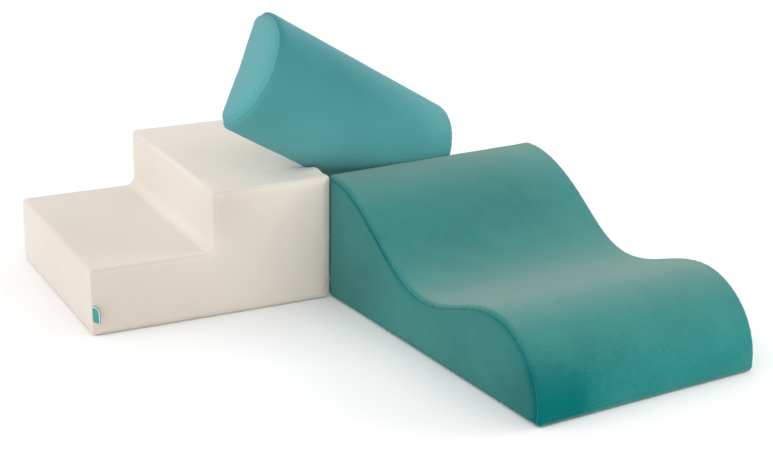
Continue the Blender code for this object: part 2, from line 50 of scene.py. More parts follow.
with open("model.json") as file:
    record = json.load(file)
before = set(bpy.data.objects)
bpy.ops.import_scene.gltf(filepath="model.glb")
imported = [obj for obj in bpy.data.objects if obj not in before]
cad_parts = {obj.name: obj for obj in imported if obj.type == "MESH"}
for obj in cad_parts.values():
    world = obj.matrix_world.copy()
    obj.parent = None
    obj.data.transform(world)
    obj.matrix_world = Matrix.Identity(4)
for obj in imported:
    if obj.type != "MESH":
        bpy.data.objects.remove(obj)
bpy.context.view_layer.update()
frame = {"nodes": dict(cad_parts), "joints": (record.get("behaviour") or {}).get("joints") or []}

# How finely surfaces are drawn
SAMPLE_STEP = 0.0005
SURFACE_STEP = 0.003
ROW_STEP = 0.008
RING_STEP = 0.008
FOAM_STEP = 0.014
BEND_STEP = math.radians(9)
BORDER_STEP = 0.00035
BORDER_GROWTH = 0.35
TUCKED_GROWTH = 0.3
HEART_SHARE = 0.03
FOAM_RINGS = 12
TAPE_COLUMNS = 19
LABEL_ROWS = 34
LABEL_COLUMNS = 35
FLANGE_DEPTHS = (0.0012, 0.0028)

# Room between sewn panels, inside them, and between blocks that lie on each other
SEAM_ROOM = 0.00005
CONTACT_ROOM = 0.0003
CONTACT_DEPTH = 0.030
FOAM_ROOM = 0.0022
FOAM_SEAM_DEPTH = 0.0060
FOAM_SEAM_REACH = 0.010

# How the cloth folds, waves and gathers
ZIP_FOLD_REACH = 0.0012
ZIP_FOLD_DEPTH = 0.00025
DOME_SHARE = 0.3
HEM_SHARE = 0.10
PUCKER_HEM_REACH = 0.008
WAVE_LENGTHS = (0.07, 0.22)
WAVE_SEAM_REACH = 0.03
GATHER_SPAN = 3
GATHER_SLANT = 0.4
CALM_REACH = 0.06
SLIDE_HEART = (0.94, 0.22)
HALF_HEART = 0.42

# Zips and the label
TAPE_RIB = 0.00012
TAPE_RIB_COUNT = 4
TAPE_WALL = 0.0007
TAPE_END_ROOM = 0.0002
TAPE_STITCH_INSET = 0.0030
TAPE_STITCH_SINK = 0.0001
STITCH_BLUNTNESS = 0.5
TOOTH_SHIFT = 0.0005
TOOTH_REACH = 0.0021
TOOTH_RISE = 0.0009
TOOTH_SINK = 0.0003
TOOTH_SHARE = 0.40
TOOTH_BLUNTNESS = 0.6
LABEL_TUCK = 0.0020
LABEL_TUCK_POWER = 6
LABEL_TOP_LOOP = 0.2
LABEL_LINE_INSET = 0.0028
LABEL_LINE_HALF = 0.0011
LABEL_LINE_SOFT = 1.35

# Bulges: the stair's end by the slide, the slide's right side and the half-round's top
FULL_EDGE = 0.012
FULL_EDGE_REACH = 0.010
FULL_ZIP = 0.12
FULL_ZIP_REACH = 0.009
FULL_FACE = 0.35
FULL_LOW = 0.060
FULL_FACE_REACH = 0.20
FULL_DEPTH = 0.05
SIDE_BELLS = ((-0.22, 0.13, 0.95), (-0.47, 0.14, 0.40), (-0.68, 0.09, 0.30))
SIDE_POWER = 6
SIDE_LIFT = 0.060
TOP_ANGLE = math.radians(129)
TOP_REACH = math.radians(50)
TOP_TAPER = 0.55

# Where the half-round touches the slide's back edge: how many places are looked at, and how far
# inside the corner they lie, as a share of its radius
EDGE_PLACES = 201
EDGE_CUT = 0.3

# How the velvet's pile shows, and the painted sheen, painted side light and painted seam shade laid into its colour
PAINTED_SIDE_LIGHT_POWER = 8
SEAM_SHADE_REACH = 0.0030
PILE_TOP = 1.9
PAINTED_SHEEN_TURN = (0.30, 1.0)
SHEEN_ROUGHNESS = 0.45
VELVET_GLOSS = 0.05
PATCH_SHARE = 0.75
GRAIN_SHARE = 0.6
STROKE_RELIEF = 1.2

# Each cloth's sheen, and how strongly it is brushed and grained
VELVETS = {"cream": (0.05, 0.45, 0.4), "green": (0.20, 1.5, 1.2), "teal": (0.10, 0.8, 0.6)}

# Woven ribbon, thread and foam, and how dark a zip is beside its cloth
RIB_TONE = 0.94
RIB_LIGHT = 0.09
RIB_DEPTH = 0.00012
TAPE_RIB_PITCH = 0.0009
LABEL_RIB_PITCH = 0.0006
WOVEN_SHEEN = 0.25
THREAD_TWIST = 700.0
THREAD_BEND = 1.5
FOAM_CELLS = 520.0
FOAM_CELL_LIGHT = 0.35
ZIP_TONE = 0.85

# Camera, and the soft lights' places and widths, by the setting that holds each one's power
SENSOR_WIDTH = 36.0
VIEW_END = 100.0
SOFT_LIGHTS = {
    "left": ((-5.0, 0.6, 1.8), 3.0),
    "front": ((-0.8, -5.5, 0.9), 2.0),
    "right": ((4.8, -1.5, 2.2), 2.5),
}
LIGHT_AIM = (0.0, 0.0, 0.2)

# Each block's body, cloth, wrapped panels, side panels and what the CAD calls those
Kind = namedtuple("Kind", "body cloth wraps sides side_name")
KINDS = {
    "stair": Kind("stair_block", "cream", ("wrap", "base"), ("front", "back"), "panel"),
    "slide": Kind("wave_slide", "green", ("wrap", "base"), ("left", "right"), "panel"),
    "half_round": Kind("half_round", "teal", ("curved", "flat"), ("upper", "lower"), "cap"),
}

# Marks in each block's pile, partly brushed pile and partly painted light and painted shade, lighter in shaded corners
# and contacts and darker on brightly lit faces: place in its own axes, reach and amount
PILE_AND_LIGHT_MARKS = {
    "stair": (
        ((-0.070, 0.130, 0.316), 0.120, 0.90),
        ((-0.160, 0.220, 0.317), 0.100, 0.25),
        ((-0.045, 0.120, 0.316), 0.050, 0.90),
        ((-0.600, 0.200, 0.100), 0.250, -0.85),
        ((-0.295, 0.250, 0.250), 0.250, 0.60),
        ((-0.170, 0.0, 0.120), 0.160, 0.25),
        ((-0.303, 0.270, 0.172), (0.048, 0.250, 0.048), 0.38),
        ((-0.270, 0.0, 0.260), 0.080, -0.45),
    ),
    "slide": (
        ((-0.885, 0.020, 0.030), 0.120, -1.10),
        ((-0.860, 0.300, 0.080), 0.120, 0.10),
        ((-0.870, 0.550, 0.100), 0.100, 0.35),
        ((-0.842, 0.083, 0.144), 0.090, 0.25),
        ((-0.862, 0.160, 0.110), 0.095, -0.32),
        ((-0.885, 0.170, 0.045), 0.070, 0.35),
        ((-0.020, 0.220, 0.316), (0.050, 0.200, 0.050), -0.40),
        ((-0.650, 0.530, 0.190), 0.120, -0.35),
        ((-0.250, 0.200, 0.220), 0.160, -0.20),
        ((-0.200, 0.400, 0.250), 0.150, -0.15),
        ((-0.083, 0.519, 0.309), 0.070, 0.40),
        ((-0.164, 0.0, 0.067), 0.100, -0.30),
        ((-0.400, 0.0, 0.060), 0.110, 0.15),
        ((-0.740, 0.0, 0.080), 0.100, -0.05),
    ),
    "half_round": (
        ((-0.110, 0.420, 0.110), 0.120, 0.35),
        ((-0.110, 0.545, 0.080), 0.085, 0.75),
        ((-0.100, 0.200, -0.120), 0.120, 0.42),
        ((-0.120, 0.350, -0.080), 0.120, 0.34),
    ),
}

# Noise textures: scale per metre, detail and roughness, and stretch where they have one
NOISES = {
    "patches": (3.0, 3.0, 0.5),
    "strokes": (34.0, 3.0, 0.6, (1.0, 1.0, 0.7)),
    "grain": (170.0, 3.0, 0.75),
    "fibres": (1500.0, 1.0, 0.5),
    "nylon": (260.0, 2.0, 0.5),
    "brushing": (900.0, 2.0, 0.6, (1.0, 0.08, 1.0)),
    "dulling": (220.0, 2.0, 0.5),
    "ageing": (9.0, 3.0, 0.5),
    "paper": (3.0, 2.0, 0.5),
}


def size(name, description, default, unit="LENGTH"):
    """A size or amount that a user can change."""
    return FloatProperty(name=name, description=description, default=default, unit=unit)


def colour(name, description, default):
    """A colour that a user can change."""
    return FloatVectorProperty(name=name, description=description, default=default, subtype="COLOR")


class StairSizes(bpy.types.PropertyGroup):
    length: size("Length", "From the low step's end to the back face", 0.600)
    width: size("Width", "Across both treads", 0.600)
    height: size("Height", "Floor to the upper tread", 0.315)
    low_step: size("Low step", "Floor to the low tread", 0.165)
    upper_depth: size("Upper tread", "Depth of the upper tread", 0.295)
    corner: size("Corner radius", "Radius of the wrapped corners", 0.011)
    foot: size("Foot radius", "Radius where the cover turns under", 0.010)
    edge: size("Edge radius", "Radius of the sewn edges", 0.009)
    riser_foot: size("Riser foot", "Radius where the riser meets the low tread", 0.026)
    tread_swell: size("Tread swell", "How far the treads stand up in the middle", 0.003)
    side_swell: size("Side swell", "How far the side panels stand out", 0.003)
    side_roll: size("Side roll", "Width of the side panels' round margin", 0.030)
    seam: size("Seam inset", "How far the side seams lie inside the outline", 0.0030)
    # The next five paint light and shade into the cover's colour: side panels painted lighter or darker, painted sheen
    # on them, painted bounce light where the cloth faces down, painted sheen where it faces up, and painted shade in
    # the side seams
    painted_side_light: size("Side nap", "How much lighter the pile of the side panels shows", 0.0, "NONE")
    painted_side_sheen: size("Side veil", "How much the cloth of the side panels pales", 0.0, "NONE")
    painted_underlight: size("Pile fall", "How much lighter the pile shows where it faces down", 0.0, "NONE")
    painted_sky_sheen: size("Sky veil", "How much the cloth pales where it faces up", 0.0, "NONE")
    pressed: size("Pressed pile", "How much darker the pile shows in the side seams", 0.03, "NONE")
    crease: size("Crease", "Depth of the seams' creases", 0.0009)
    crease_reach: size("Crease width", "Half width of the seams' creases", 0.0025)
    pucker: size("Pucker", "Height of the gathers along the seams", 0.00035)
    gather: size("Gather", "Shortest gather along a seam", 0.012)
    fullness: size("Fullness", "How far the end by the slide bulges towards it", 0.0127)
    dent: size("Dent", "How deep the half-round presses the upper edge", 0.008)
    dent_reach: size("Dent reach", "Width of the dent's bell curve", 0.036)
    dent_station: size("Dent place", "From the front face to the dent", 0.1345)
    bulge: size("Bulge", "How far the edge is pushed up before the dent", 0.010)
    bulge_reach: size("Bulge reach", "Width of the bulge's bell curve", 0.030)
    bulge_offset: size("Bulge offset", "From the dent to the bulge", 0.080)


class SlideSizes(bpy.types.PropertyGroup):
    length: size("Length", "From the back face to the nose", 0.888)
    width: size("Width", "Across the wave", 0.600)
    height: size("Height", "Floor to the back edge", 0.316)
    plateau: size("Plateau", "Flat stretch at the back edge", 0.030)
    trough_reach: size("Trough reach", "Back face to the trough", 0.433)
    trough: size("Trough height", "Floor to the trough", 0.139)
    crest_reach: size("Crest reach", "Back face to the crest", 0.708)
    crest: size("Crest height", "Floor to the crest", 0.201)
    corner: size("Corner radius", "Radius of the back edge", 0.014)
    foot: size("Foot radius", "Radius where the cover turns under", 0.012)
    edge: size("Edge radius", "Radius of the sewn edges", 0.010)
    nose_rise: size("Nose rise", "Straight stretch under the nose", 0.008)
    wave_swell: size("Wave swell", "How far the wave stands up in the middle", 0.004)
    side_swell: size("Side swell", "How far the side panels stand out", 0.003)
    side_roll: size("Side roll", "Width of the side panels' round margin", 0.030)
    seam: size("Seam inset", "How far the side seams lie inside the outline", 0.0115)
    # The next five paint light and shade into the cover's colour: side panels painted lighter or darker, painted sheen
    # on them, painted bounce light where the cloth faces down, painted sheen where it faces up, and painted shade in
    # the side seams
    painted_side_light: size("Side nap", "How much lighter the pile of the side panels shows", -0.15, "NONE")
    painted_side_sheen: size("Side veil", "How much the cloth of the side panels pales", 0.0, "NONE")
    painted_underlight: size("Pile fall", "How much lighter the pile shows where it faces down", 0.0, "NONE")
    painted_sky_sheen: size("Sky veil", "How much the cloth pales where it faces up", 0.32, "NONE")
    pressed: size("Pressed pile", "How much darker the pile shows in the side seams", 0.03, "NONE")
    crease: size("Crease", "Depth of the seams' creases", 0.0017)
    crease_reach: size("Crease width", "Half width of the seams' creases", 0.0052)
    pucker: size("Pucker", "Height of the gathers along the seams", 0.00045)
    gather: size("Gather", "Shortest gather along a seam", 0.014)
    fullness: size("Fullness", "How far the right side bulges beside the slope", 0.013)


class HalfRoundSizes(bpy.types.PropertyGroup):
    radius: size("Radius", "Radius of the round face", 0.1535)
    length: size("Length", "From cap to cap", 0.588)
    tip: size("Tip radius", "Radius where the flat face meets the round one", 0.024)
    tip_seam: size("Tip seam", "From the tip's bend down to the flat panel's seam", 0.004)
    edge: size("Edge radius", "Radius of the caps' edges", 0.014)
    flat_swell: size("Flat swell", "How far the flat face stands out", 0.002)
    side_swell: size("Cap swell", "How far the puffed caps stand out", 0.0175)
    side_roll: size("Cap roll", "Width of the caps' round margin", 0.016)
    seam: size("Seam inset", "How far the cap seams lie inside the outline", 0.0076)
    # The next five paint light and shade into the cover's colour: side panels painted lighter or darker, painted sheen
    # on them, painted bounce light where the cloth faces down, painted sheen where it faces up, and painted shade in
    # the side seams
    painted_side_light: size("Side nap", "How much lighter the pile of the side panels shows", 0.40, "NONE")
    painted_side_sheen: size("Side veil", "How much the cloth of the side panels pales", 0.30, "NONE")
    painted_underlight: size("Pile fall", "How much lighter the pile shows where it faces down", 0.7, "NONE")
    painted_sky_sheen: size("Sky veil", "How much the cloth pales where it faces up", 0.0, "NONE")
    pressed: size("Pressed pile", "How much darker the pile shows in the side seams", 0.15, "NONE")
    crease: size("Crease", "Depth of the seams' creases", 0.0010)
    crease_reach: size("Crease width", "Half width of the seams' creases", 0.0035)
    pucker: size("Pucker", "Height of the gathers along the seams", 0.0012)
    gather: size("Gather", "Shortest gather along a seam", 0.007)
    fullness: size("Fullness", "How far the round face bulges along its top", 0.0055)
    zip_drop: size("Zip drop", "From the flat face's middle down to the zip", 0.080)


class SewingSizes(bpy.types.PropertyGroup):
    fabric: size("Fabric", "Thickness of the velvet", 0.0010)
    hem_rise: size("Hem rise", "From the foot's bend up to the hem seam", 0.007)
    valley: size("Valley", "How far a seam pulls the foam in", 0.0010)
    valley_reach: size("Valley reach", "How wide a seam pulls the foam in", 0.010)
    pucker_reach: size("Pucker reach", "How far the gathers run from a seam", 0.014)
    uneven: size("Unevenness", "Height of the foam's slow waves", 0.00055)
    zip_height: size("Zip height", "Floor to the zip's middle", 0.045)
    tape: size("Tape width", "Width of the zip's slot", 0.014)
    zip_margin: size("Zip margin", "From a side face to the zip's first stop", 0.030)
    stop_gap: size("Stop gap", "From the zip's tape up to its stops", 0.0003)
    stop_length: size("Stop length", "Length of an end stop with its gap", 0.0033)
    zip_tuck: size("Zip tuck", "How far the tape runs under the cloth", 0.0030)
    tape_depth: size("Tape depth", "How deep the zip's tape lies under the cover", 0.0013)
    stitch: size("Stitch", "Length of one stitch", 0.0030)
    stitch_pitch: size("Stitch pitch", "From stitch to stitch", 0.0040)
    stitch_inset: size("Stitch inset", "From the zip's folded edge to the stitches", 0.0040)
    thread: size("Thread", "Thickness of the sewing thread", 0.0005)
    tooth_pitch: size("Tooth pitch", "From tooth to tooth of the zip's coil", 0.0016)


class LabelSizes(bpy.types.PropertyGroup):
    height: size("Height", "Width of the folded ribbon", 0.040)
    reach: size("Reach", "From the seam to the fold", 0.0245)
    corner: size("Corner radius", "Radius of the round upper corner", 0.017)
    angle: size("Angle", "Turn of the label from +X", math.radians(-65), "ROTATION")
    ribbon: size("Ribbon", "Thickness of the ribbon", 0.00030)
    loop: size("Loop", "Room inside the fold", 0.0011)


class CoverColours(bpy.types.PropertyGroup):
    # Each cloth's pale colour after its deep one is a painted sheen colour: the velvet's base colour is mixed towards
    # it as the cloth turns away from the viewer and where it faces up, and it also tints the real sheen
    cream: colour("Cream", "Stair block's velvet, brushed light", (0.755, 0.690, 0.618))
    cream_deep: colour("Deep cream", "The same, brushed dark", (0.605, 0.540, 0.468))
    cream_veil: colour("Cream veil", "The same, seen along the cloth", (0.740, 0.697, 0.636))
    green: colour("Sea green", "Slide block's velvet, brushed light", (0.036, 0.252, 0.235))
    green_deep: colour("Deep sea green", "The same, brushed dark", (0.0, 0.140, 0.136))
    green_veil: colour("Sea green veil", "The same, seen along the cloth", (0.176, 0.304, 0.276))
    teal: colour("Teal", "Half-round block's velvet, brushed light", (0.083, 0.300, 0.310))
    teal_deep: colour("Deep teal", "The same, brushed dark", (0.040, 0.205, 0.213))
    teal_veil: colour("Teal veil", "The same, seen along the cloth", (0.142, 0.344, 0.357))
    foam: colour("Foam", "The blocks' foam", (0.80, 0.72, 0.43))
    label: colour("Label", "The label's ribbon", (0.020, 0.270, 0.270))
    label_line: colour("Label line", "The pale line woven along its rim", (0.62, 0.90, 0.88))
    steel: colour("Steel", "The zips' sliders and stops", (0.56, 0.57, 0.58))
    floor: colour("Floor", "The studio floor", (0.94, 0.94, 0.94))


class CameraPlace(bpy.types.PropertyGroup):
    lens: size("Lens", "Focal length on a 36 mm sensor, in millimetres", 78.651, "CAMERA")
    across: size("Across", "From the stair block's front right foot, along X", -1.64032)
    back: size("Back", "From the stair block's front right foot, along Y", -3.56065)
    height: size("Height", "Above the floor", 1.53797)
    heading: size("Heading", "Turn of the view to the right of +Y", 0.46908, "ROTATION")
    drop: size("Drop", "How far the view looks down", 0.33052, "ROTATION")
    roll: size("Roll", "Turn of the picture about the view", 0.01329, "ROTATION")


class StudioLight(bpy.types.PropertyGroup):
    sky: size("Sky", "Strength of the even white surroundings", 1.02, "NONE")
    left: size("Left", "Power of the soft light at the left, in watts", 52.0, "NONE")
    front: size("Front", "Power of the low soft light in front, in watts", 31.0, "NONE")
    right: size("Right", "Power of the soft light at the right, in watts", 66.0, "NONE")
    floor_size: size("Floor size", "Side of the studio floor", 40.0)


SETTINGS = {
    "climber_stair": StairSizes,
    "climber_slide": SlideSizes,
    "climber_half_round": HalfRoundSizes,
    "climber_sewing": SewingSizes,
    "climber_label": LabelSizes,
    "climber_colours": CoverColours,
    "climber_camera": CameraPlace,
    "climber_light": StudioLight,
}


# Outlines

# A panel's two borders: the first panel comes from the zip, the second goes back to it
OPENING, CLOSING, BESIDE_ZIP = ("zip", "sewn"), ("sewn", "zip"), ("zip", "zip")


def straight(start, end, swell=0.0):
    """Straight run from start to end. It swells out by a parabola, most in the middle."""
    start, end = np.array(start), np.array(end)
    count = max(2, round(np.linalg.norm(end - start) / SAMPLE_STEP) + 1)
    share = np.linspace(0, 1, count)[:, None]
    return start + (end - start) * share, swell * 4 * share[:, 0] * (1 - share[:, 0])


def bend(centre, radius, first, last):
    """Arc about a centre: centre + radius (cos angle, sin angle), angles in degrees."""
    turn = math.radians(abs(last - first))
    angle = np.radians(np.linspace(first, last, max(4, round(radius * turn / SAMPLE_STEP) + 1)))
    points = np.array(centre) + radius * np.stack([np.cos(angle), np.sin(angle)], axis=1)
    return points, np.zeros(len(points))


class Outline:
    """A closed outline (out, up), drawn counterclockwise, as dense points, normals and swells.

    It is made of named panels that meet at seams. Each panel keeps the range of the path s that it
    takes, and whether each of its two borders is sewn or folded beside a zip.
    """

    def __init__(self, panels):
        points, swells, self.panels, length = [], [], {}, 0.0
        for name, borders, runs in panels:
            run, swell = (np.concatenate(part) for part in zip(*runs))
            start, length = length, length + np.linalg.norm(np.diff(run, axis=0), axis=1).sum()
            self.panels[name] = (start, length, borders)
            points.append(run)
            swells.append(swell)
        points, swells = np.concatenate(points), np.concatenate(swells)
        steps = np.linalg.norm(np.diff(points, axis=0), axis=1)
        kept = np.concatenate([[True], steps > SAMPLE_STEP / 20])
        points, swells = points[kept], swells[kept]
        path = np.concatenate([[0], np.cumsum(np.linalg.norm(np.diff(points, axis=0), axis=1))])
        points[-1] = points[0]
        side = np.diff(points, axis=0)
        facing = np.stack([side[:, 1], -side[:, 0]], axis=1) / np.linalg.norm(side, axis=1)[:, None]
        turn = facing + np.roll(facing, 1, axis=0)
        turn /= np.linalg.norm(turn, axis=1)[:, None]
        angle = np.unwrap(np.arctan2(turn[:, 1], turn[:, 0]))
        angle = np.append(angle, angle[0] + math.tau)
        self.length, self.path, self.points = path[-1], path, points
        self.angle, self.swells = angle, swells
        self.curve = np.abs(np.gradient(angle, path))

    def at(self, s):
        """Points, outward unit normals and swells at the places s along the outline."""
        s = np.mod(s, self.length * (1 + 1e-12))
        points = np.stack([np.interp(s, self.path, self.points[:, k]) for k in (0, 1)], axis=-1)
        angle = np.interp(s, self.path, self.angle)
        normals = np.stack([np.cos(angle), np.sin(angle)], axis=-1)
        return points, normals, np.interp(s, self.path, self.swells)

    def next_to(self, panel):
        """The panels that end and start where that panel starts and ends."""
        names = list(self.panels)
        number = names.index(panel)
        return names[number - 1], names[(number + 1) % len(names)]

    def bend_step(self, s):
        return BEND_STEP / np.maximum(np.interp(s, self.path, self.curve), 1e-3)


def zip_slot(middle, sewing):
    return middle - sewing.tape / 2, middle + sewing.tape / 2


def standing_outline(wrap, sizes, sewing):
    """The outline of a block on the floor: its wrap, its underside from the hem to the zip, the slot."""
    length, radius = sizes.length, sizes.foot
    low, high = zip_slot(sewing.zip_height, sewing)
    base = [
        straight((-length, radius + sewing.hem_rise), (-length, radius)),
        bend((-length + radius, radius), radius, 180, 270),
        straight((-length + radius, 0.0), (-radius, 0.0)),
        bend((-radius, radius), radius, 270, 360),
        straight((0.0, radius), (0.0, low)),
    ]
    slot = [straight((0.0, low), (0.0, high))]
    return Outline([("wrap", OPENING, wrap), ("base", CLOSING, base), ("tape", BESIDE_ZIP, slot)])


def stair_outline(sizes, sewing):
    bow, top, step, riser = sizes.corner, sizes.height, sizes.low_step, sizes.riser_foot
    depth, length, swell = sizes.upper_depth, sizes.length, sizes.tread_swell
    wrap = [
        straight((0.0, zip_slot(sewing.zip_height, sewing)[1]), (0.0, top - bow)),
        bend((-bow, top - bow), bow, 0, 90),
        straight((-bow, top), (-depth + bow, top), swell),
        bend((-depth + bow, top - bow), bow, 90, 180),
        straight((-depth, top - bow), (-depth, step + riser)),
        bend((-depth - riser, step + riser), riser, 0, -90),
        straight((-depth - riser, step), (-length + bow, step), swell),
        bend((-length + bow, step - bow), bow, 90, 180),
        straight((-length, step - bow), (-length, sizes.foot + sewing.hem_rise), swell),
    ]
    return standing_outline(wrap, sizes, sewing)


def slide_outline(sizes, sewing):
    """The wave is two half cosines, down to the trough and up to the crest, and an elliptic nose."""
    bow, top, hem = sizes.corner, sizes.height, sizes.foot + sewing.hem_rise
    wrap = [
        straight((0.0, zip_slot(sewing.zip_height, sewing)[1]), (0.0, top - bow)),
        bend((-bow, top - bow), bow, 0, 90),
        straight((-bow, top), (-sizes.plateau, top)),
    ]
    stretches = (
        (sizes.plateau, top, sizes.trough_reach, sizes.trough),
        (sizes.trough_reach, sizes.trough, sizes.crest_reach, sizes.crest),
    )
    for reach, height, next_reach, next_height in stretches:
        share = np.linspace(0, 1, round((next_reach - reach) / SAMPLE_STEP) + 1)
        at = reach + (next_reach - reach) * share
        up = height + (next_height - height) * (1 - np.cos(math.pi * share)) / 2
        wrap.append((np.stack([-at, up], axis=1), sizes.wave_swell * at / sizes.length))
    nose, nose_foot = sizes.length - sizes.crest_reach, hem + sizes.nose_rise
    angle = np.linspace(0, math.pi / 2, round(2 * nose / SAMPLE_STEP))
    reach = sizes.crest_reach + nose * np.sin(angle)
    up = nose_foot + (sizes.crest - nose_foot) * np.cos(angle)
    wrap.append((np.stack([-reach, up], axis=1), sizes.wave_swell * np.cos(angle)))
    wrap.append(straight((-sizes.length, nose_foot), (-sizes.length, hem)))
    return standing_outline(wrap, sizes, sewing)


def half_round_outline(sizes, sewing):
    low, high = zip_slot(-sizes.zip_drop, sewing)
    tip = math.sqrt((sizes.radius - sizes.tip) ** 2 - sizes.tip**2)
    meet = math.degrees(math.atan2(tip, -sizes.tip))
    seam = tip - sizes.tip_seam
    flat = [straight((0.0, high), (0.0, seam), sizes.flat_swell)]
    curved = [
        straight((0.0, seam), (0.0, tip)),
        bend((-sizes.tip, tip), sizes.tip, 0, meet),
        bend((0.0, 0.0), sizes.radius, meet, 360 - meet),
        bend((-sizes.tip, -tip), sizes.tip, 360 - meet, 360),
        straight((0.0, -tip), (0.0, low)),
    ]
    slot = [straight((0.0, low), (0.0, high))]
    return Outline([("flat", OPENING, flat), ("curved", CLOSING, curved), ("tape", BESIDE_ZIP, slot)])


# Slow random shapes and steps


class Waves:
    """Smooth noise: a sum of seeded plane waves, sum of cos(k . p + phase), between about -1 and 1."""

    def __init__(self, seed, shortest, longest, directions=3, count=14):
        random = np.random.default_rng(seed)
        facing = random.normal(size=(count, directions))
        facing /= np.linalg.norm(facing, axis=1)[:, None]
        length = np.exp(random.uniform(math.log(shortest), math.log(longest), count))
        self.number = facing * (math.tau / length)[:, None]
        self.phase = random.uniform(0, math.tau, count)

    def at(self, points):
        waves = np.cos(points @ self.number.T + self.phase)
        return waves.sum(axis=-1) / math.sqrt(2 * len(self.phase))


def spaced(first, last, step):
    """Places from first to last, as close together as step, a function of the place, asks there."""
    fine = np.linspace(first, last, max(9, round((last - first) / SAMPLE_STEP) + 1))
    density = 1 / step(fine)
    cost = np.concatenate([[0], np.cumsum((density[1:] + density[:-1]) / 2 * np.diff(fine))])
    return np.interp(np.linspace(0, cost[-1], max(3, math.ceil(cost[-1]) + 1)), cost, fine)


def shoulder(distance, reach, depth):
    """A quarter ellipse down into a seam: depth at the seam, nothing from reach on."""
    share = np.clip(1 - distance / reach, 0, 1)
    return depth * (1 - np.sqrt(np.maximum(1 - share**2, 0)))


def bell(distance, reach):
    """A bell curve, exp(-(distance / reach)^2)."""
    return np.exp(-((distance / reach) ** 2))


# Blocks


def flat_axes(node):
    """The three unit normals of a box-shaped node, and the node's corners."""
    mesh = frame["nodes"][node].data
    found = []
    for face in mesh.polygons:
        normal = np.array(face.normal)
        if all(abs(normal @ other) < 0.5 for other in found):
            found.append(normal)
    return found, np.array([v.co for v in mesh.vertices])


def joint_axis(name):
    found = [np.array(j["axis"], float) for j in frame["joints"] if j["name"] == name]
    return found[0] / np.linalg.norm(found[0])


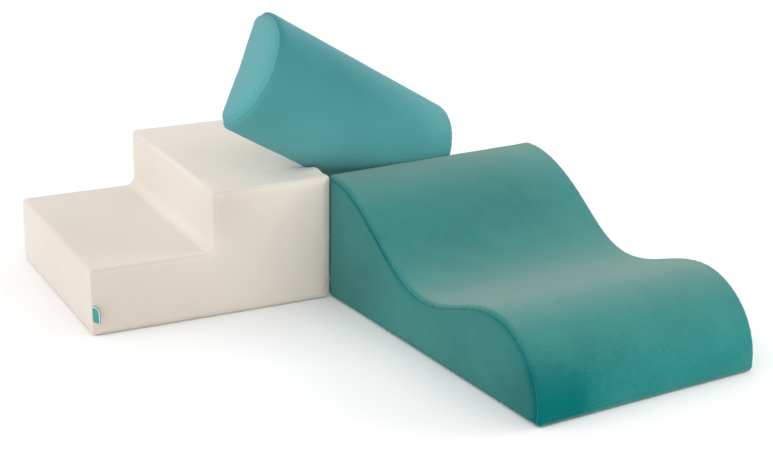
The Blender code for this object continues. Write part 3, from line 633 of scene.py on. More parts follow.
class Block:
    """A covered block: an outline swept across a width, with soft edges and sewn side panels.

    Across the block the path q runs over a quarter circle of the edge radius, straight over the
    width, and down the other quarter circle. Below nothing it goes on inwards over the side face.
    """

    def __init__(self, name, outline, width, sizes, sewing, heart, seed):
        self.outline, self.width, self.edge = outline, width, sizes.edge
        self.sewing, self.look, self.heart, self.pile_and_light_marks = sewing, sizes, np.array(heart), PILE_AND_LIGHT_MARKS[name]
        self.puff, self.roll = sizes.side_swell, sizes.side_roll
        self.across = math.pi * self.edge + width - 2 * self.edge
        if sizes.seam < sizes.edge:
            self.seam = self.edge * math.asin(1 - sizes.seam / self.edge)
        else:
            self.seam = self.edge - sizes.seam
        self.waves = Waves(seed, *WAVE_LENGTHS)
        lengths = (sizes.gather, GATHER_SPAN * sizes.gather)
        self.gathers = [Waves(seed + k, *lengths, directions=1) for k in (1, 2, 3)]
        self.press, self.calm = [], []

    def place_by(self, core, stop, zip_joint, middle):
        """Puts the block where the frame has its zip: axes from the first stop's faces, place from
        that stop's corners."""
        along = -joint_axis(zip_joint)
        facing, corners = flat_axes(stop)
        out, up = sorted((f for f in facing if abs(f @ along) < 0.5), key=lambda f: np.ptp(corners @ f))
        inside = np.mean([np.array(v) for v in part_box(core)], axis=0)
        out = out if out @ (corners[0] - inside) > 0 else -out
        up = up if up[2] > 0 else -up
        self.axes = np.array([out, along, up])
        across = corners @ up
        self.origin = (
            out * ((corners @ out).min() + self.sewing.tape_depth - self.sewing.stop_gap)
            + along * ((corners @ along).min() - self.sewing.zip_margin)
            + up * ((across.min() + across.max()) / 2 - middle)
        )
        self.hand = float(np.dot(np.cross(out, along), up))

    def world(self, local):
        return self.origin + local @ self.axes

    def local(self, world):
        return (world - self.origin) @ self.axes.T

    def section(self, q):
        """Inset, station, tilt and end of the path q."""
        far = q > self.across / 2
        near = np.where(far, self.across - q, q)
        tilt = np.clip(near / self.edge, 0, math.pi / 2)
        inset = np.where(near < 0, self.edge - near, self.edge * (1 - np.sin(tilt)))
        along = self.edge * (1 - np.cos(tilt)) + np.maximum(near - self.edge * math.pi / 2, 0)
        along = np.where(near < 0, 0.0, along)
        return inset, np.where(far, self.width - along, along), tilt, np.where(far, 1.0, -1.0)

    def skin(self, q, s):
        """Local points and outward normals on a grid of q and s, without any relief."""
        inset, along, tilt, end = (v[:, None] for v in self.section(q))
        points, normals, swell = self.outline.at(s)
        across = 2 * along / self.width - 1
        out = swell * (1 - across**2) * np.sin(tilt) - inset
        flat = points + normals * out[..., None]
        grid = np.stack([flat[..., 0], np.broadcast_to(along, out.shape), flat[..., 1]], axis=-1)
        aside = np.broadcast_to(end * np.cos(tilt), out.shape)
        facing = np.stack([normals[:, 0] * np.sin(tilt), aside, normals[:, 1] * np.sin(tilt)], axis=-1)
        return grid, facing

    def puffed(self, inside, share):
        """How far a side panel stands out: a quarter ellipse up from its seam, then a low dome."""
        rise = np.clip(1 - inside / self.roll, 0, 1)
        return self.puff * ((1 - DOME_SHARE) * np.sqrt(1 - rise**2) + DOME_SHARE * (1 - share**2))

    def rings(self, edge, share, far):
        """Rings of a side, shrunk about the heart to those shares of its edge: points and normals,
        and how far each has shrunk."""
        flat = edge[:, [0, 2]]
        inner = self.heart + (flat - self.heart) * share[:, None, None]
        shrunk = np.linalg.norm(inner - flat, axis=-1)
        along = self.on_side(self.puffed(shrunk, share[:, None]), far)
        points = np.stack([inner[..., 0], along, inner[..., 1]], axis=-1)
        return points, np.broadcast_to(self.side_normal(far), points.shape), shrunk

    def on_side(self, height, far):
        return self.width + height if far else -height

    def side_normal(self, far):
        return np.array([[0.0, 1.0 if far else -1.0, 0.0]])

    def pole(self, far):
        """The middle of a side, where its rings close."""
        return np.array([[self.heart[0], self.on_side(self.puff, far), self.heart[1]]])

    def brushed(self, local, facing_up=0.0):
        """Marks in the pile: bell curves round a few places, amount and reach of each, partly brushed pile and partly
        painted light and painted shade.

        It also paints light where the cloth faces down, as the painted underlight.
        """
        # Painted light: lighter where the cloth faces down, standing in for light thrown up from below
        total = np.zeros(len(local)) - self.look.painted_underlight * facing_up
        for place, reach, amount in self.pile_and_light_marks:
            total += amount * bell(np.linalg.norm((local - np.array(place)) / np.array(reach), axis=1), 1)
        return total

    def relief(self, local, seam, gathered, hem=1.0):
        """Height of the cloth over the plain skin, from the distances to the side seam and the hem."""
        sewing, look = self.sewing, self.look
        high = sewing.uneven * self.waves.at(local) * (1 - bell(seam, WAVE_SEAM_REACH))
        for centre in self.calm:
            high = high * (1 - bell(np.linalg.norm(local - centre, axis=-1), CALM_REACH))
        high = high + look.pucker * gathered * np.exp(-seam / sewing.pucker_reach)
        high = high - sewing.valley * bell(seam, sewing.valley_reach)
        high = high - shoulder(seam, look.crease_reach, look.crease)
        return high - HEM_SHARE * shoulder(hem, look.crease_reach, look.crease)

    def dress(self, local, facing, height):
        """World points of the cloth: raised by the relief, dented, pressed clear and on the floor."""
        points = local + facing * height[..., None]
        for change in self.press:
            points = change(points, local)
        points = self.world(points)
        points[..., 2] = np.maximum(points[..., 2], 0.0)
        return points


def finer(pace, places, borders):
    """The steps asked for at those places, made finer next to the borders."""
    for border in borders:
        pace = np.minimum(pace, BORDER_STEP + BORDER_GROWTH * np.abs(places - border))
    return pace


def rows_between(block, first, last, borders=(), step=ROW_STEP):
    """Places of q, close together round the soft edges and next to the borders."""

    def asked(q):
        near = np.minimum(q, block.across - q)
        pace = np.where(near < block.edge * math.pi / 2 + SAMPLE_STEP, BEND_STEP * block.edge, step)
        return finer(pace, q, borders)

    return spaced(first, last, asked)


def columns_between(block, first, last, borders=(), step=SURFACE_STEP):
    """Places of s, close together round the outline's bends and next to the borders."""
    return spaced(first, last, lambda s: finer(np.minimum(step, block.outline.bend_step(s)), s, borders))


def grid_faces(rows, columns, closed, flip):
    numbers = np.arange(rows * columns).reshape(rows, columns)
    if closed:
        numbers = np.concatenate([numbers, numbers[:, :1]], axis=1)
    faces = np.stack([numbers[:-1, :-1], numbers[:-1, 1:], numbers[1:, 1:], numbers[1:, :-1]], axis=-1)
    faces = faces.reshape(-1, 4)
    return faces[:, ::-1] if flip else faces


def fan(ring, pole):
    """Triangles from a closed ring of vertex numbers to a pole."""
    return np.stack([ring, np.roll(ring, -1), np.full(len(ring), pole)], axis=1)


def new_mesh(name, points, quads, triangles=()):
    """A smooth object of those points, on a grid or in a row, and faces."""
    mesh = bpy.data.meshes.new(name)
    counts = [4] * len(quads) + [3] * len(triangles)
    mesh.vertices.add(points.size // 3)
    mesh.vertices.foreach_set("co", np.float32(points).ravel())
    mesh.loops.add(sum(counts))
    mesh.loops.foreach_set("vertex_index", np.int32(np.concatenate([np.ravel(quads), np.ravel(triangles)])))
    mesh.polygons.add(len(counts))
    mesh.polygons.foreach_set("loop_start", np.int32(np.cumsum([0, *counts[:-1]])))
    mesh.update(calc_edges=True)
    mesh.validate()
    mesh.shade_smooth()
    obj = bpy.data.objects.new(name, mesh)
    bpy.context.scene.collection.objects.link(obj)
    return obj


def open_sheet(name, block, points):
    """An open grid of cloth, with its faces outwards."""
    return new_mesh(name, points, grid_faces(*points.shape[:2], False, block.hand > 0))


def give_wall(obj, thickness):
    wall = obj.modifiers.new("cloth thickness", "SOLIDIFY")
    wall.thickness = thickness
    wall.offset = -1.0
    wall.use_rim = True
    return obj


def note(obj, **layers):
    """Keeps numbers on the mesh for its material, one for each vertex."""
    for name, values in layers.items():
        layer = obj.data.attributes.new(name, "FLOAT", "POINT")
        layer.data.foreach_set("value", np.float32(values).ravel())


def add_uv(obj, flat):
    """A UV map in metres, from one flat place for each vertex."""
    layer = obj.data.uv_layers.new(name="cloth")
    corner = np.empty(len(obj.data.loops), dtype=np.int32)
    obj.data.loops.foreach_get("vertex_index", corner)
    layer.data.foreach_set("uv", np.float32(flat.reshape(-1, 2)[corner]).ravel())


def border_distance(s, panel, kind):
    """Distance along the outline to the nearest border of that kind, or far away."""
    first, last, borders = panel
    away = [np.abs(s - at) if border == kind else np.ones(len(s)) for at, border in zip((first, last), borders)]
    return np.minimum(*away)[None, :]


def side_gathers(block, q, s, side):
    """Gathers across the side seams: one random line for each end, slanting a little away from it."""
    first = block.gathers[0].at((s[None, :] + side * GATHER_SLANT)[..., None])
    last = block.gathers[1].at((s[None, :] - side * GATHER_SLANT)[..., None])
    return np.where((q < block.across / 2)[:, None], first, last)


def cloth(block, name, q, s):
    """Plain skin, outward normals, relief and distance to the side seam of a wrap panel on a grid."""
    panel = block.outline.panels[name]
    side = np.minimum(q - block.seam, block.across - block.seam - q)[:, None]
    hem, fold = border_distance(s, panel, "sewn"), border_distance(s, panel, "zip")
    grid, facing = block.skin(q, s)
    high = block.relief(grid, side, side_gathers(block, q, s, side), hem)
    hem_gathers = block.gathers[2].at(q[:, None, None]) * np.exp(-hem / PUCKER_HEM_REACH)
    high = high + HEM_SHARE * block.look.pucker * hem_gathers - shoulder(fold, ZIP_FOLD_REACH, ZIP_FOLD_DEPTH)
    return grid, facing, high, np.broadcast_to(side, high.shape)


def turned_in(count, at_first, at_last):
    """Numbers of the rows with the first and last ones repeated as a flange, and its depths."""
    row, deep = np.arange(count), np.zeros(count)
    extra = len(FLANGE_DEPTHS)
    if at_first:
        row, deep = np.concatenate([[0] * extra, row]), np.concatenate([FLANGE_DEPTHS[::-1], deep])
    if at_last:
        row, deep = np.concatenate([row, [count - 1] * extra]), np.concatenate([deep, FLANGE_DEPTHS])
    return row, deep


def painted_seam_shade(block, seam):
    """Painted shade in a seam: the pile is darkened by a bell curve of the distance to it."""
    return -block.look.pressed * bell(seam, SEAM_SHADE_REACH)


def wrap_panel(name, block, panel):
    """An open panel of the wrap: the grid of q by s, with flanges that turn in at each sewn border."""
    first, last, borders = block.outline.panels[panel]
    ends = (block.seam + SEAM_ROOM, block.across - block.seam - SEAM_ROOM)
    q = rows_between(block, *ends, ends)
    ends = (first + SEAM_ROOM, last - SEAM_ROOM)
    s = columns_between(block, *ends, ends)
    grid, facing, high, seam = cloth(block, panel, q, s)
    row, flange_rows = turned_in(len(q), True, True)
    column, flange_columns = turned_in(len(s), borders[0] == "sewn", borders[1] == "sewn")
    deep = np.maximum(flange_rows[:, None], flange_columns[None, :])
    grid, facing, high, seam = (part[np.ix_(row, column)] for part in (grid, facing, high, seam))
    obj = open_sheet(name, block, block.dress(grid, facing, high - deep))
    # Painted light and shade: the side panels' painted lighter or darker tone, reaching onto the wrap where it faces
    # sideways, and the painted seam shade
    nap = block.look.painted_side_light * facing[..., 1] ** PAINTED_SIDE_LIGHT_POWER + painted_seam_shade(block, seam)
    up = facing[..., 2].ravel()
    # The marks, partly painted light and shade, and the painted light where the cloth faces down
    brush = block.brushed(grid.reshape(-1, 3), up)
    # Painted sheen where the cloth faces up: the square of its upward facing
    note(obj, nap=nap, brush=brush, veil=block.look.painted_sky_sheen * np.maximum(up, 0) ** 2)
    return give_wall(obj, block.sewing.fabric)


def side_panel(name, block, far):
    """A side panel: rings from its seam inwards, shrinking about the heart, closed by a pole.

    It puffs out by a quarter ellipse from its seam and a low dome, 1 - share^2, over the middle.
    """
    last = block.seam - SEAM_ROOM
    q = rows_between(block, 0.0, last, (last,))[::-1] if block.seam > 0 else np.array([last])
    s = columns_between(block, 0, block.outline.length)[:-1]
    grid, facing = block.skin(q, s)
    reach = np.linalg.norm(grid[-1][:, [0, 2]] - block.heart, axis=1).max()
    first_ring = BORDER_STEP + max(block.seam, 0.0) * TUCKED_GROWTH
    step = lambda away: np.minimum(RING_STEP, first_ring + BORDER_GROWTH * away)  # noqa: E731
    away = spaced(0, reach * (1 - HEART_SHARE), step)[1:]
    rings, normals, shrunk = block.rings(grid[-1], 1 - away / reach, False)
    seam = np.concatenate([np.broadcast_to(block.seam - q[:, None], grid.shape[:2]), block.seam - q[-1] + shrunk])
    grid, facing = np.concatenate([grid, rings]), np.concatenate([facing, normals])
    if far:
        grid[..., 1] = block.width - grid[..., 1]
        facing = facing * (1, -1, 1)
    slant = -GATHER_SLANT if far else GATHER_SLANT
    gathered = block.gathers[int(far)].at((s[None, :] + seam * slant)[..., None])
    row, deep = turned_in(len(grid), True, False)
    points = block.dress(grid[row], facing[row], block.relief(grid, seam, gathered)[row] - deep[:, None])
    pole = block.pole(far)
    top = block.dress(pole, block.side_normal(far), block.relief(pole, np.ones(1), np.zeros(1)))
    rows, columns = points.shape[:2]
    flip = (block.hand < 0) != far
    closing = fan((rows - 1) * columns + np.arange(columns), rows * columns)
    closing = closing[:, ::-1] if flip else closing
    points = np.concatenate([points.reshape(-1, 3), top])
    obj = new_mesh(name, points, grid_faces(rows, columns, True, flip), closing)
    # The marks, partly brushed pile and partly painted light and shade
    brush = block.brushed(np.concatenate([grid[row].reshape(-1, 3), pole]))
    # Painted light and shade: the whole side panel painted lighter or darker, with painted shade along its seam
    nap = block.look.painted_side_light + np.append(painted_seam_shade(block, seam[row]), 0.0)
    # Painted sheen on the side panels, even over each panel
    note(obj, nap=nap, brush=brush, veil=np.full(len(points), block.look.painted_side_sheen))
    return give_wall(obj, block.sewing.fabric)


def foam_block(name, block):
    """The foam inside the cover: the block's whole skin, a little deeper, and deeper still at seams."""
    q = rows_between(block, 0.0, block.across, step=FOAM_STEP)
    s = columns_between(block, 0, block.outline.length, step=FOAM_STEP)[:-1]
    grid, facing = block.skin(q, s)
    seam = np.minimum(np.abs(q - block.seam), np.abs(block.across - block.seam - q))[:, None]
    for first, _, borders in block.outline.panels.values():
        if borders[0] == "sewn":
            seam = np.minimum(seam, np.abs(s - first)[None, :])
    layers = [(grid, facing, np.broadcast_to(seam, grid.shape[:2]))]
    share = np.linspace(1, HEART_SHARE, FOAM_RINGS)[1:]
    for far in (False, True):
        rings, normals, shrunk = block.rings(grid[-1 if far else 0], share, far)
        layer = (rings, normals, np.abs(shrunk + block.seam))
        layers = [*layers, layer] if far else [tuple(part[::-1] for part in layer), *layers]
    grid, facing, seam = (np.concatenate(parts) for parts in zip(*layers))
    points = block.dress(grid, facing, -FOAM_ROOM - FOAM_SEAM_DEPTH * bell(seam, FOAM_SEAM_REACH))
    poles, normals = (np.concatenate([of(False), of(True)]) for of in (block.pole, block.side_normal))
    poles = block.dress(poles, normals, np.full(2, -FOAM_ROOM))
    rows, columns = points.shape[:2]
    low, high, count = np.arange(columns), (rows - 1) * columns + np.arange(columns), rows * columns
    fans = np.concatenate([fan(low, count)[:, (1, 0, 2)], fan(high, count + 1)])
    fans = fans[:, ::-1] if block.hand > 0 else fans
    points = np.concatenate([points.reshape(-1, 3), poles])
    return new_mesh(name, points, grid_faces(rows, columns, True, block.hand > 0), fans)


# Zips and the label


def beads(name, centres, long, side, high, bluntness, rings=5, segments=6):
    """Many small closed bodies of one form: centre + long c(v) + (side cos(u) + high sin(u)) s(v).

    c and s are cosine and sine to the power bluntness, which under one makes a bead blunter.
    """
    v = np.linspace(0, math.pi, rings)[1:-1, None, None]
    u = np.arange(segments)[:, None] * math.tau / segments
    along = long * np.sign(np.cos(v)) * np.abs(np.cos(v)) ** bluntness
    body = along + (side * np.cos(u) + high * np.sin(u)) * np.sin(v) ** bluntness
    form = np.concatenate([body.reshape(-1, 3), [long, -long]])
    last, inner = (len(v) - 1) * segments + np.arange(segments), len(v) * segments
    quads = grid_faces(len(v), segments, True, False)
    fans = np.concatenate([fan(np.arange(segments), inner)[:, (1, 0, 2)], fan(last, inner + 1)])
    if np.dot(np.cross(side, high), long) > 0:
        quads, fans = quads[:, ::-1], fans[:, ::-1]
    start = (np.arange(len(centres)) * len(form))[:, None, None]
    return new_mesh(name, centres[:, None] + form, (quads + start).reshape(-1, 4), (fans + start).reshape(-1, 3))


def zip_tape(name, block):
    """The woven tape under the zip's slot, from side seam to side seam, tucked under both folds."""
    sewing = block.sewing
    first, last, _ = block.outline.panels["tape"]
    inset = block.seam + TAPE_END_ROOM
    q = rows_between(block, inset, block.across - inset)
    s = np.linspace(first - sewing.zip_tuck, last + sewing.zip_tuck, TAPE_COLUMNS)
    grid, facing = block.skin(q, s)
    ribs = 0.5 * (1 + np.cos(math.tau * (s - first) / (sewing.tape / TAPE_RIB_COUNT)))
    high = np.broadcast_to(-sewing.tape_depth - TAPE_RIB * ribs, grid.shape[:2])
    obj = open_sheet(name, block, block.dress(grid, facing, high))
    add_uv(obj, np.stack(np.broadcast_arrays(q[:, None], s[None, :]), axis=-1))
    return give_wall(obj, TAPE_WALL)


def zip_teeth(name, block):
    """The coil: teeth that cross the middle in turn from either side."""
    sewing = block.sewing
    first, last, _ = block.outline.panels["tape"]
    margin = sewing.zip_margin + sewing.stop_length
    along = np.arange(margin + sewing.tooth_pitch, block.width - margin, sewing.tooth_pitch)
    shift = np.where(np.arange(len(along)) % 2, TOOTH_SHIFT, -TOOTH_SHIFT)
    middle = block.outline.at(np.array([(first + last) / 2]))[0][0]
    local = np.stack([middle[0] - TOOTH_SINK + 0 * along, along, middle[1] + shift], axis=1)
    out, run, up = block.axes
    thick = run * sewing.tooth_pitch * TOOTH_SHARE
    return beads(name, block.world(local), up * TOOTH_REACH, thick, out * TOOTH_RISE, TOOTH_BLUNTNESS)


def zip_stitching(name, block):
    """Rows of stitches along both folds beside the zip, and along both sides of the coil."""
    sewing, outline = block.sewing, block.outline
    first, last, _ = outline.panels["tape"]
    margin = block.seam + 2 * sewing.stitch_pitch
    q = np.arange(margin, block.across - margin, sewing.stitch_pitch)
    folds = (first - sewing.stitch_inset, (last + sewing.stitch_inset) % outline.length)
    rows = []
    for panel, s in zip(outline.next_to("tape"), folds):
        rows.append(block.dress(*cloth(block, panel, q, np.array([s]))[:3])[:, 0])
    for s in (first + TAPE_STITCH_INSET, last - TAPE_STITCH_INSET):
        grid, facing = block.skin(q, np.array([s]))
        rows.append(block.dress(grid, facing, np.full(grid.shape[:2], -sewing.tape_depth - TAPE_STITCH_SINK))[:, 0])
    out, run, up = block.axes
    half = sewing.thread / 2
    return beads(name, np.concatenate(rows), run * sewing.stitch / 2, up * half, out * half, STITCH_BLUNTNESS)


def label_loop(name, block, sizes, box):
    """A folded ribbon: reach r(v) (1 - t^2) out of the seam, and half the loop times sin(pi t) aside.

    t runs from one end of the ribbon over the fold to the other, v up the label. r(v) follows a
    quarter circle at the upper corner.
    """
    low, high = box
    tall, corner = high.z - low.z, sizes.corner
    v = np.linspace(0, tall, LABEL_ROWS)[:, None]
    t = np.linspace(-1, 1, LABEL_COLUMNS)
    over = np.maximum(v - (tall - corner), 0)
    reach = sizes.reach - corner + np.sqrt(np.maximum(corner**2 - over**2, 0))
    out = reach * (1 - t**2) - LABEL_TUCK * t**LABEL_TUCK_POWER
    aside = sizes.loop / 2 * np.sin(math.pi * t) * np.minimum(1, reach / sizes.reach + LABEL_TOP_LOOP)
    seam, _ = block.skin(np.array([block.seam]), np.array([block.outline.panels["wrap"][1] - sizes.height]))
    facing = np.array([math.cos(sizes.angle), math.sin(sizes.angle), 0.0])
    beside = np.array([-facing[1], facing[0], 0.0])
    points = block.world(seam)[0, 0] * (1, 1, 0) + out[..., None] * facing + aside[..., None] * beside
    points[..., 2] = low.z + v
    obj = new_mesh(name, points, grid_faces(*points.shape[:2], False, False))
    flat = np.stack(np.broadcast_arrays(out, v), axis=-1)
    from_corner = flat - (sizes.reach - corner, tall - corner)
    rounded = corner - np.linalg.norm(np.maximum(from_corner, 0), axis=-1)
    plain = np.minimum(sizes.reach - flat[..., 0], tall - flat[..., 1])
    note(obj, rim=np.where((from_corner > 0).all(axis=-1), rounded, plain))
    add_uv(obj, flat)
    give_wall(obj, sizes.ribbon).modifiers[0].offset = 0.0
    return obj


# How the blocks lie on each other


def shifted(points, axis, by):
    """The points, moved along one of the block's axes."""
    points = points.copy()
    points[..., axis] += by
    return points


def stair_dent(sizes):
    """The stair's upper edge is pressed down under the half-round, and pushed up in front of it.

    Both are bell curves, depth times exp(-(distance / reach)^2), round a place on that edge.
    """

    def pressed(points, local):
        out, along, up = np.moveaxis(local, -1, 0)
        aside = np.hypot(out, sizes.height - up)
        dent = np.hypot(along - sizes.dent_station, aside)
        bulge = np.hypot(along - sizes.dent_station + sizes.bulge_offset, aside)
        rise = sizes.bulge * bell(bulge, sizes.bulge_reach) - sizes.dent * bell(dent, sizes.dent_reach)
        return shifted(points, 2, rise)

    return pressed


def stair_fullness(sizes, zip_height):
    """The stair's end by the slide bulges towards it: all along its front edge, and over its zip.

    The bulge is fullness times one less (1 - edge) (1 - face), where edge is a bell curve just
    behind the front face, a little higher at the zip's slot, and face grows over the zip and falls
    off to the back.
    """

    def pressed(points, local):
        out, along, up = np.moveaxis(local, -1, 0)
        edge = bell(along - FULL_EDGE, FULL_EDGE_REACH) * (1 + FULL_ZIP * bell(up - zip_height, FULL_ZIP_REACH))
        lift = np.clip((up - FULL_LOW) / FULL_LOW, 0, 1)
        face = FULL_FACE * lift**2 * (3 - 2 * lift) * bell(along, FULL_FACE_REACH)
        near = bell(np.minimum(out, 0), FULL_DEPTH)
        return shifted(points, 0, sizes.fullness * near * (1 - (1 - edge) * (1 - face)))

    return pressed


def slide_fullness(sizes):
    """The slide's right side bulges: bell curves along it, most beside the upper slope."""

    def pressed(points, local):
        out, along, up = np.moveaxis(local, -1, 0)
        bells = sum(share * bell(out - place, reach) for place, reach, share in SIDE_BELLS)
        near = np.clip(along / sizes.width, 0, 1) ** SIDE_POWER
        return shifted(points, 1, sizes.fullness * bells * near * np.clip(up / SIDE_LIFT, 0, 1))

    return pressed


def half_round_fullness(sizes):
    """The half-round bulges along its top: a bell curve about one angle, falling off to the low end."""

    def pressed(points, local):
        out, along, up = np.moveaxis(local, -1, 0)
        radial = np.hypot(out, up)
        angle = np.mod(np.arctan2(up, out), math.tau)
        taper = 1 - TOP_TAPER * along / sizes.length
        rise = sizes.fullness * bell(angle - TOP_ANGLE, TOP_REACH) * taper * (radial / sizes.radius) ** 2
        rise = rise / np.maximum(radial, SAMPLE_STEP)
        return shifted(shifted(points, 0, rise * out), 2, rise * up)

    return pressed


def half_round_distance(sizes, local):
    """Signed distance to the half-round: its rounded section, met by the two ends in a round edge."""
    out, along, up = np.moveaxis(local, -1, 0)
    arc = sizes.radius - sizes.tip
    tip = math.sqrt(arc**2 - sizes.tip**2)
    radial = np.hypot(out, up)
    on_arc = out / np.maximum(radial, SAMPLE_STEP) * arc <= -sizes.tip
    to_arc, to_flat = radial - arc, out + sizes.tip
    to_corner = np.hypot(to_flat, np.abs(up) - tip)
    outside = np.where(on_arc, to_arc, np.where(np.abs(up) <= tip, to_flat, to_corner))
    inside = np.maximum(to_arc, to_flat)
    across = np.where(inside < 0, inside, outside) - sizes.tip + sizes.edge
    ends = np.maximum(-along, along - sizes.length) + sizes.edge
    rounded = np.hypot(np.maximum(across, 0), np.maximum(ends, 0))
    return np.minimum(np.maximum(across, ends), 0) + rounded - sizes.edge


def clear_of(half, sizes, block):
    """Cloth that would lie inside the half-round is moved out along the slope of its distance."""

    def pressed(points, local):
        near = half.local(block.world(points))
        distance = half_round_distance(sizes, near)
        step = SAMPLE_STEP / 10
        slope = [half_round_distance(sizes, near + step * axis) - distance for axis in np.eye(3)]
        slope = np.stack(slope, axis=-1)
        slope /= np.maximum(np.linalg.norm(slope, axis=-1, keepdims=True), step / 100)
        push = np.where(distance > -CONTACT_DEPTH, np.maximum(CONTACT_ROOM - distance, 0), 0)
        return block.local(half.world(near + slope * push[..., None]))

    return pressed


def make_blocks(scene):
    """The three blocks in their places, with what presses on them."""
    sewing, sizes = scene.climber_sewing, scene.climber_stair
    heart = (-sizes.upper_depth / 2, sizes.low_step / 2)
    stair = Block("stair", stair_outline(sizes, sewing), sizes.width, sizes, sewing, heart, 11)
    stair.place_by("stair_core", "stair_zip_stop_front", "stair_zip", sewing.zip_height)
    stair.press += [stair_fullness(sizes, sewing.zip_height), stair_dent(sizes)]
    dent = stair.world(np.array((0.0, sizes.dent_station, sizes.height)))

    wave = scene.climber_slide
    heart = (-wave.trough_reach * SLIDE_HEART[0], wave.trough * SLIDE_HEART[1])
    slide = Block("slide", slide_outline(wave, sewing), wave.width, wave, sewing, heart, 23)
    slide.place_by("slide_core", "slide_zip_stop_left", "slide_zip", sewing.zip_height)
    slide.press.append(slide_fullness(wave))

    sizes = scene.climber_half_round
    heart = (-sizes.radius * HALF_HEART, 0.0)
    half = Block("half_round", half_round_outline(sizes, sewing), sizes.length, sizes, sewing, heart, 37)
    half.place_by("half_round_core", "half_round_zip_stop_upper", "half_round_zip", -sizes.zip_drop)
    half.press.append(half_round_fullness(sizes))

    for block in (stair, slide):
        block.press.append(clear_of(half, sizes, block))
    back = np.linspace(0, wave.width, EDGE_PLACES)
    cut = EDGE_CUT * wave.corner
    edge = slide.world(np.stack([-cut + 0 * back, back, wave.height - cut + 0 * back], axis=1))
    touch = edge[half_round_distance(sizes, half.local(edge)).argmin()]
    for block in (stair, slide, half):
        block.calm = [block.local(dent), block.local(touch)]
    return stair, slide, half


# Materials


def plug(tree, target, values):
    """Sets a node's inputs, or links them where the value is another node's socket."""
    for key, value in values.items():
        if isinstance(value, bpy.types.NodeSocket):
            tree.links.new(value, target.inputs[key])
        else:
            target.inputs[key].default_value = value


def node(tree, kind, values, output=0, **settings):
    """One output of a new node with those inputs and settings."""
    made = tree.nodes.new(kind)
    for key, value in settings.items():
        setattr(made, key, value)
    plug(tree, made, values)
    return made.outputs[output]


def maths(tree, operation, *values):
    return node(tree, "ShaderNodeMath", dict(enumerate(values)), operation=operation)


def weighted(tree, one, share, two, other):
    """One times its share and two times the other."""
    return maths(tree, "ADD", maths(tree, "MULTIPLY", one, share), maths(tree, "MULTIPLY", two, other))


def swing(tree, value, amount):
    """How far a texture is from its middle, times an amount."""
    return maths(tree, "MULTIPLY", maths(tree, "SUBTRACT", value, 0.5), amount)


def spread(tree, value, to_min, to_max, from_min=0.0, from_max=1.0):
    links = {"Value": value, "From Min": from_min, "From Max": from_max, "To Min": to_min, "To Max": to_max}
    return node(tree, "ShaderNodeMapRange", links)


def toned(tree, tint, tone):
    return node(tree, "ShaderNodeVectorMath", {0: tint, "Scale": tone}, operation="SCALE")


def mixed(tree, share, one, two, clamp=True):
    return node(tree, "ShaderNodeMix", {0: share, 6: one, 7: two}, 2, data_type="RGBA", clamp_factor=clamp)


def bumped(tree, height, distance):
    return node(tree, "ShaderNodeBump", {"Height": height, "Distance": distance})


def place_on(tree, kind="Object"):
    return node(tree, "ShaderNodeTexCoord", {}, kind)


def noted(tree, name):
    """A number kept on the mesh."""
    return node(tree, "ShaderNodeAttribute", {}, "Fac", attribute_name=name)


def noise(tree, place, name):
    scale, detail, rough, *stretch = NOISES[name]
    if stretch:
        place = node(tree, "ShaderNodeMapping", {"Vector": place, "Scale": stretch[0]})
    return node(tree, "ShaderNodeTexNoise", {"Vector": place, "Scale": scale, "Detail": detail, "Roughness": rough})


def new_group(name, inputs, outputs):
    """A shader node group with those inputs and outputs, what it is given and the node it puts out at."""
    group = bpy.data.node_groups.new(name, "ShaderNodeTree")
    for label, default in inputs.items():
        kind = "NodeSocketColor" if isinstance(default, tuple) else "NodeSocketFloat"
        group.interface.new_socket(label, in_out="INPUT", socket_type=kind).default_value = default
    kinds = {"Color": "NodeSocketColor", "Normal": "NodeSocketVector"}
    for label in outputs:
        kind = kinds.get(label, "NodeSocketFloat")
        group.interface.new_socket(label, in_out="OUTPUT", socket_type=kind)
    return group, group.nodes.new("NodeGroupInput").outputs, group.nodes.new("NodeGroupOutput")


def velvet_group():
    """Short velvet pile: slow brushed patches, finer strokes and the grain of the fibres, with the painted light,
    painted shade and painted sheen noted on the mesh.
    """
    inputs = {"Deep Color": (0.4, 0.4, 0.4, 1.0), "Light Color": (0.6, 0.6, 0.6, 1.0)}
    inputs |= {"Brushed": 2.0, "Grain": 1.2, "Pile Height": 0.0004}
    group, given, put = new_group("velvet_pile", inputs, ("Color", "Veil", "Sky Veil", "Roughness", "Normal"))
    place = place_on(group)
    patches, strokes = noise(group, place, "patches"), noise(group, place, "strokes")
    slow = swing(group, weighted(group, patches, PATCH_SHARE, strokes, 1 - PATCH_SHARE), given["Brushed"])
    grain, fibres = noise(group, place, "grain"), noise(group, place, "fibres")
    fine = weighted(group, grain, GRAIN_SHARE, fibres, 1 - GRAIN_SHARE)
    speckle = swing(group, fine, given["Grain"])
    # The noted marks: partly brushed pile, partly painted light and painted shade
    brushed = maths(group, "ADD", noted(group, "brush"), 0.5)
    pile = maths(group, "ADD", maths(group, "ADD", slow, speckle), brushed)
    pile = maths(group, "MINIMUM", maths(group, "MAXIMUM", pile, 0.0), PILE_TOP)
    # Painted light and shade: the colour is scaled by the noted painted side light and painted seam shade
    painted_light_scale = maths(group, "ADD", noted(group, "nap"), 1.0)
    high = maths(group, "ADD", fine, maths(group, "MULTIPLY", strokes, STROKE_RELIEF))
    outputs = {
        "Color": toned(group, mixed(group, pile, given["Deep Color"], given["Light Color"], False), painted_light_scale),
        "Veil": maths(group, "MULTIPLY", painted_light_scale, painted_light_scale),
        # The painted sheen noted on the mesh: painted sky sheen on the wraps, painted side sheen on the side panels
        "Sky Veil": noted(group, "veil"),
        "Roughness": spread(group, patches, 0.78, 0.95),
        "Normal": bumped(group, high, given["Pile Height"]),
    }
    plug(group, put, outputs)
    return group


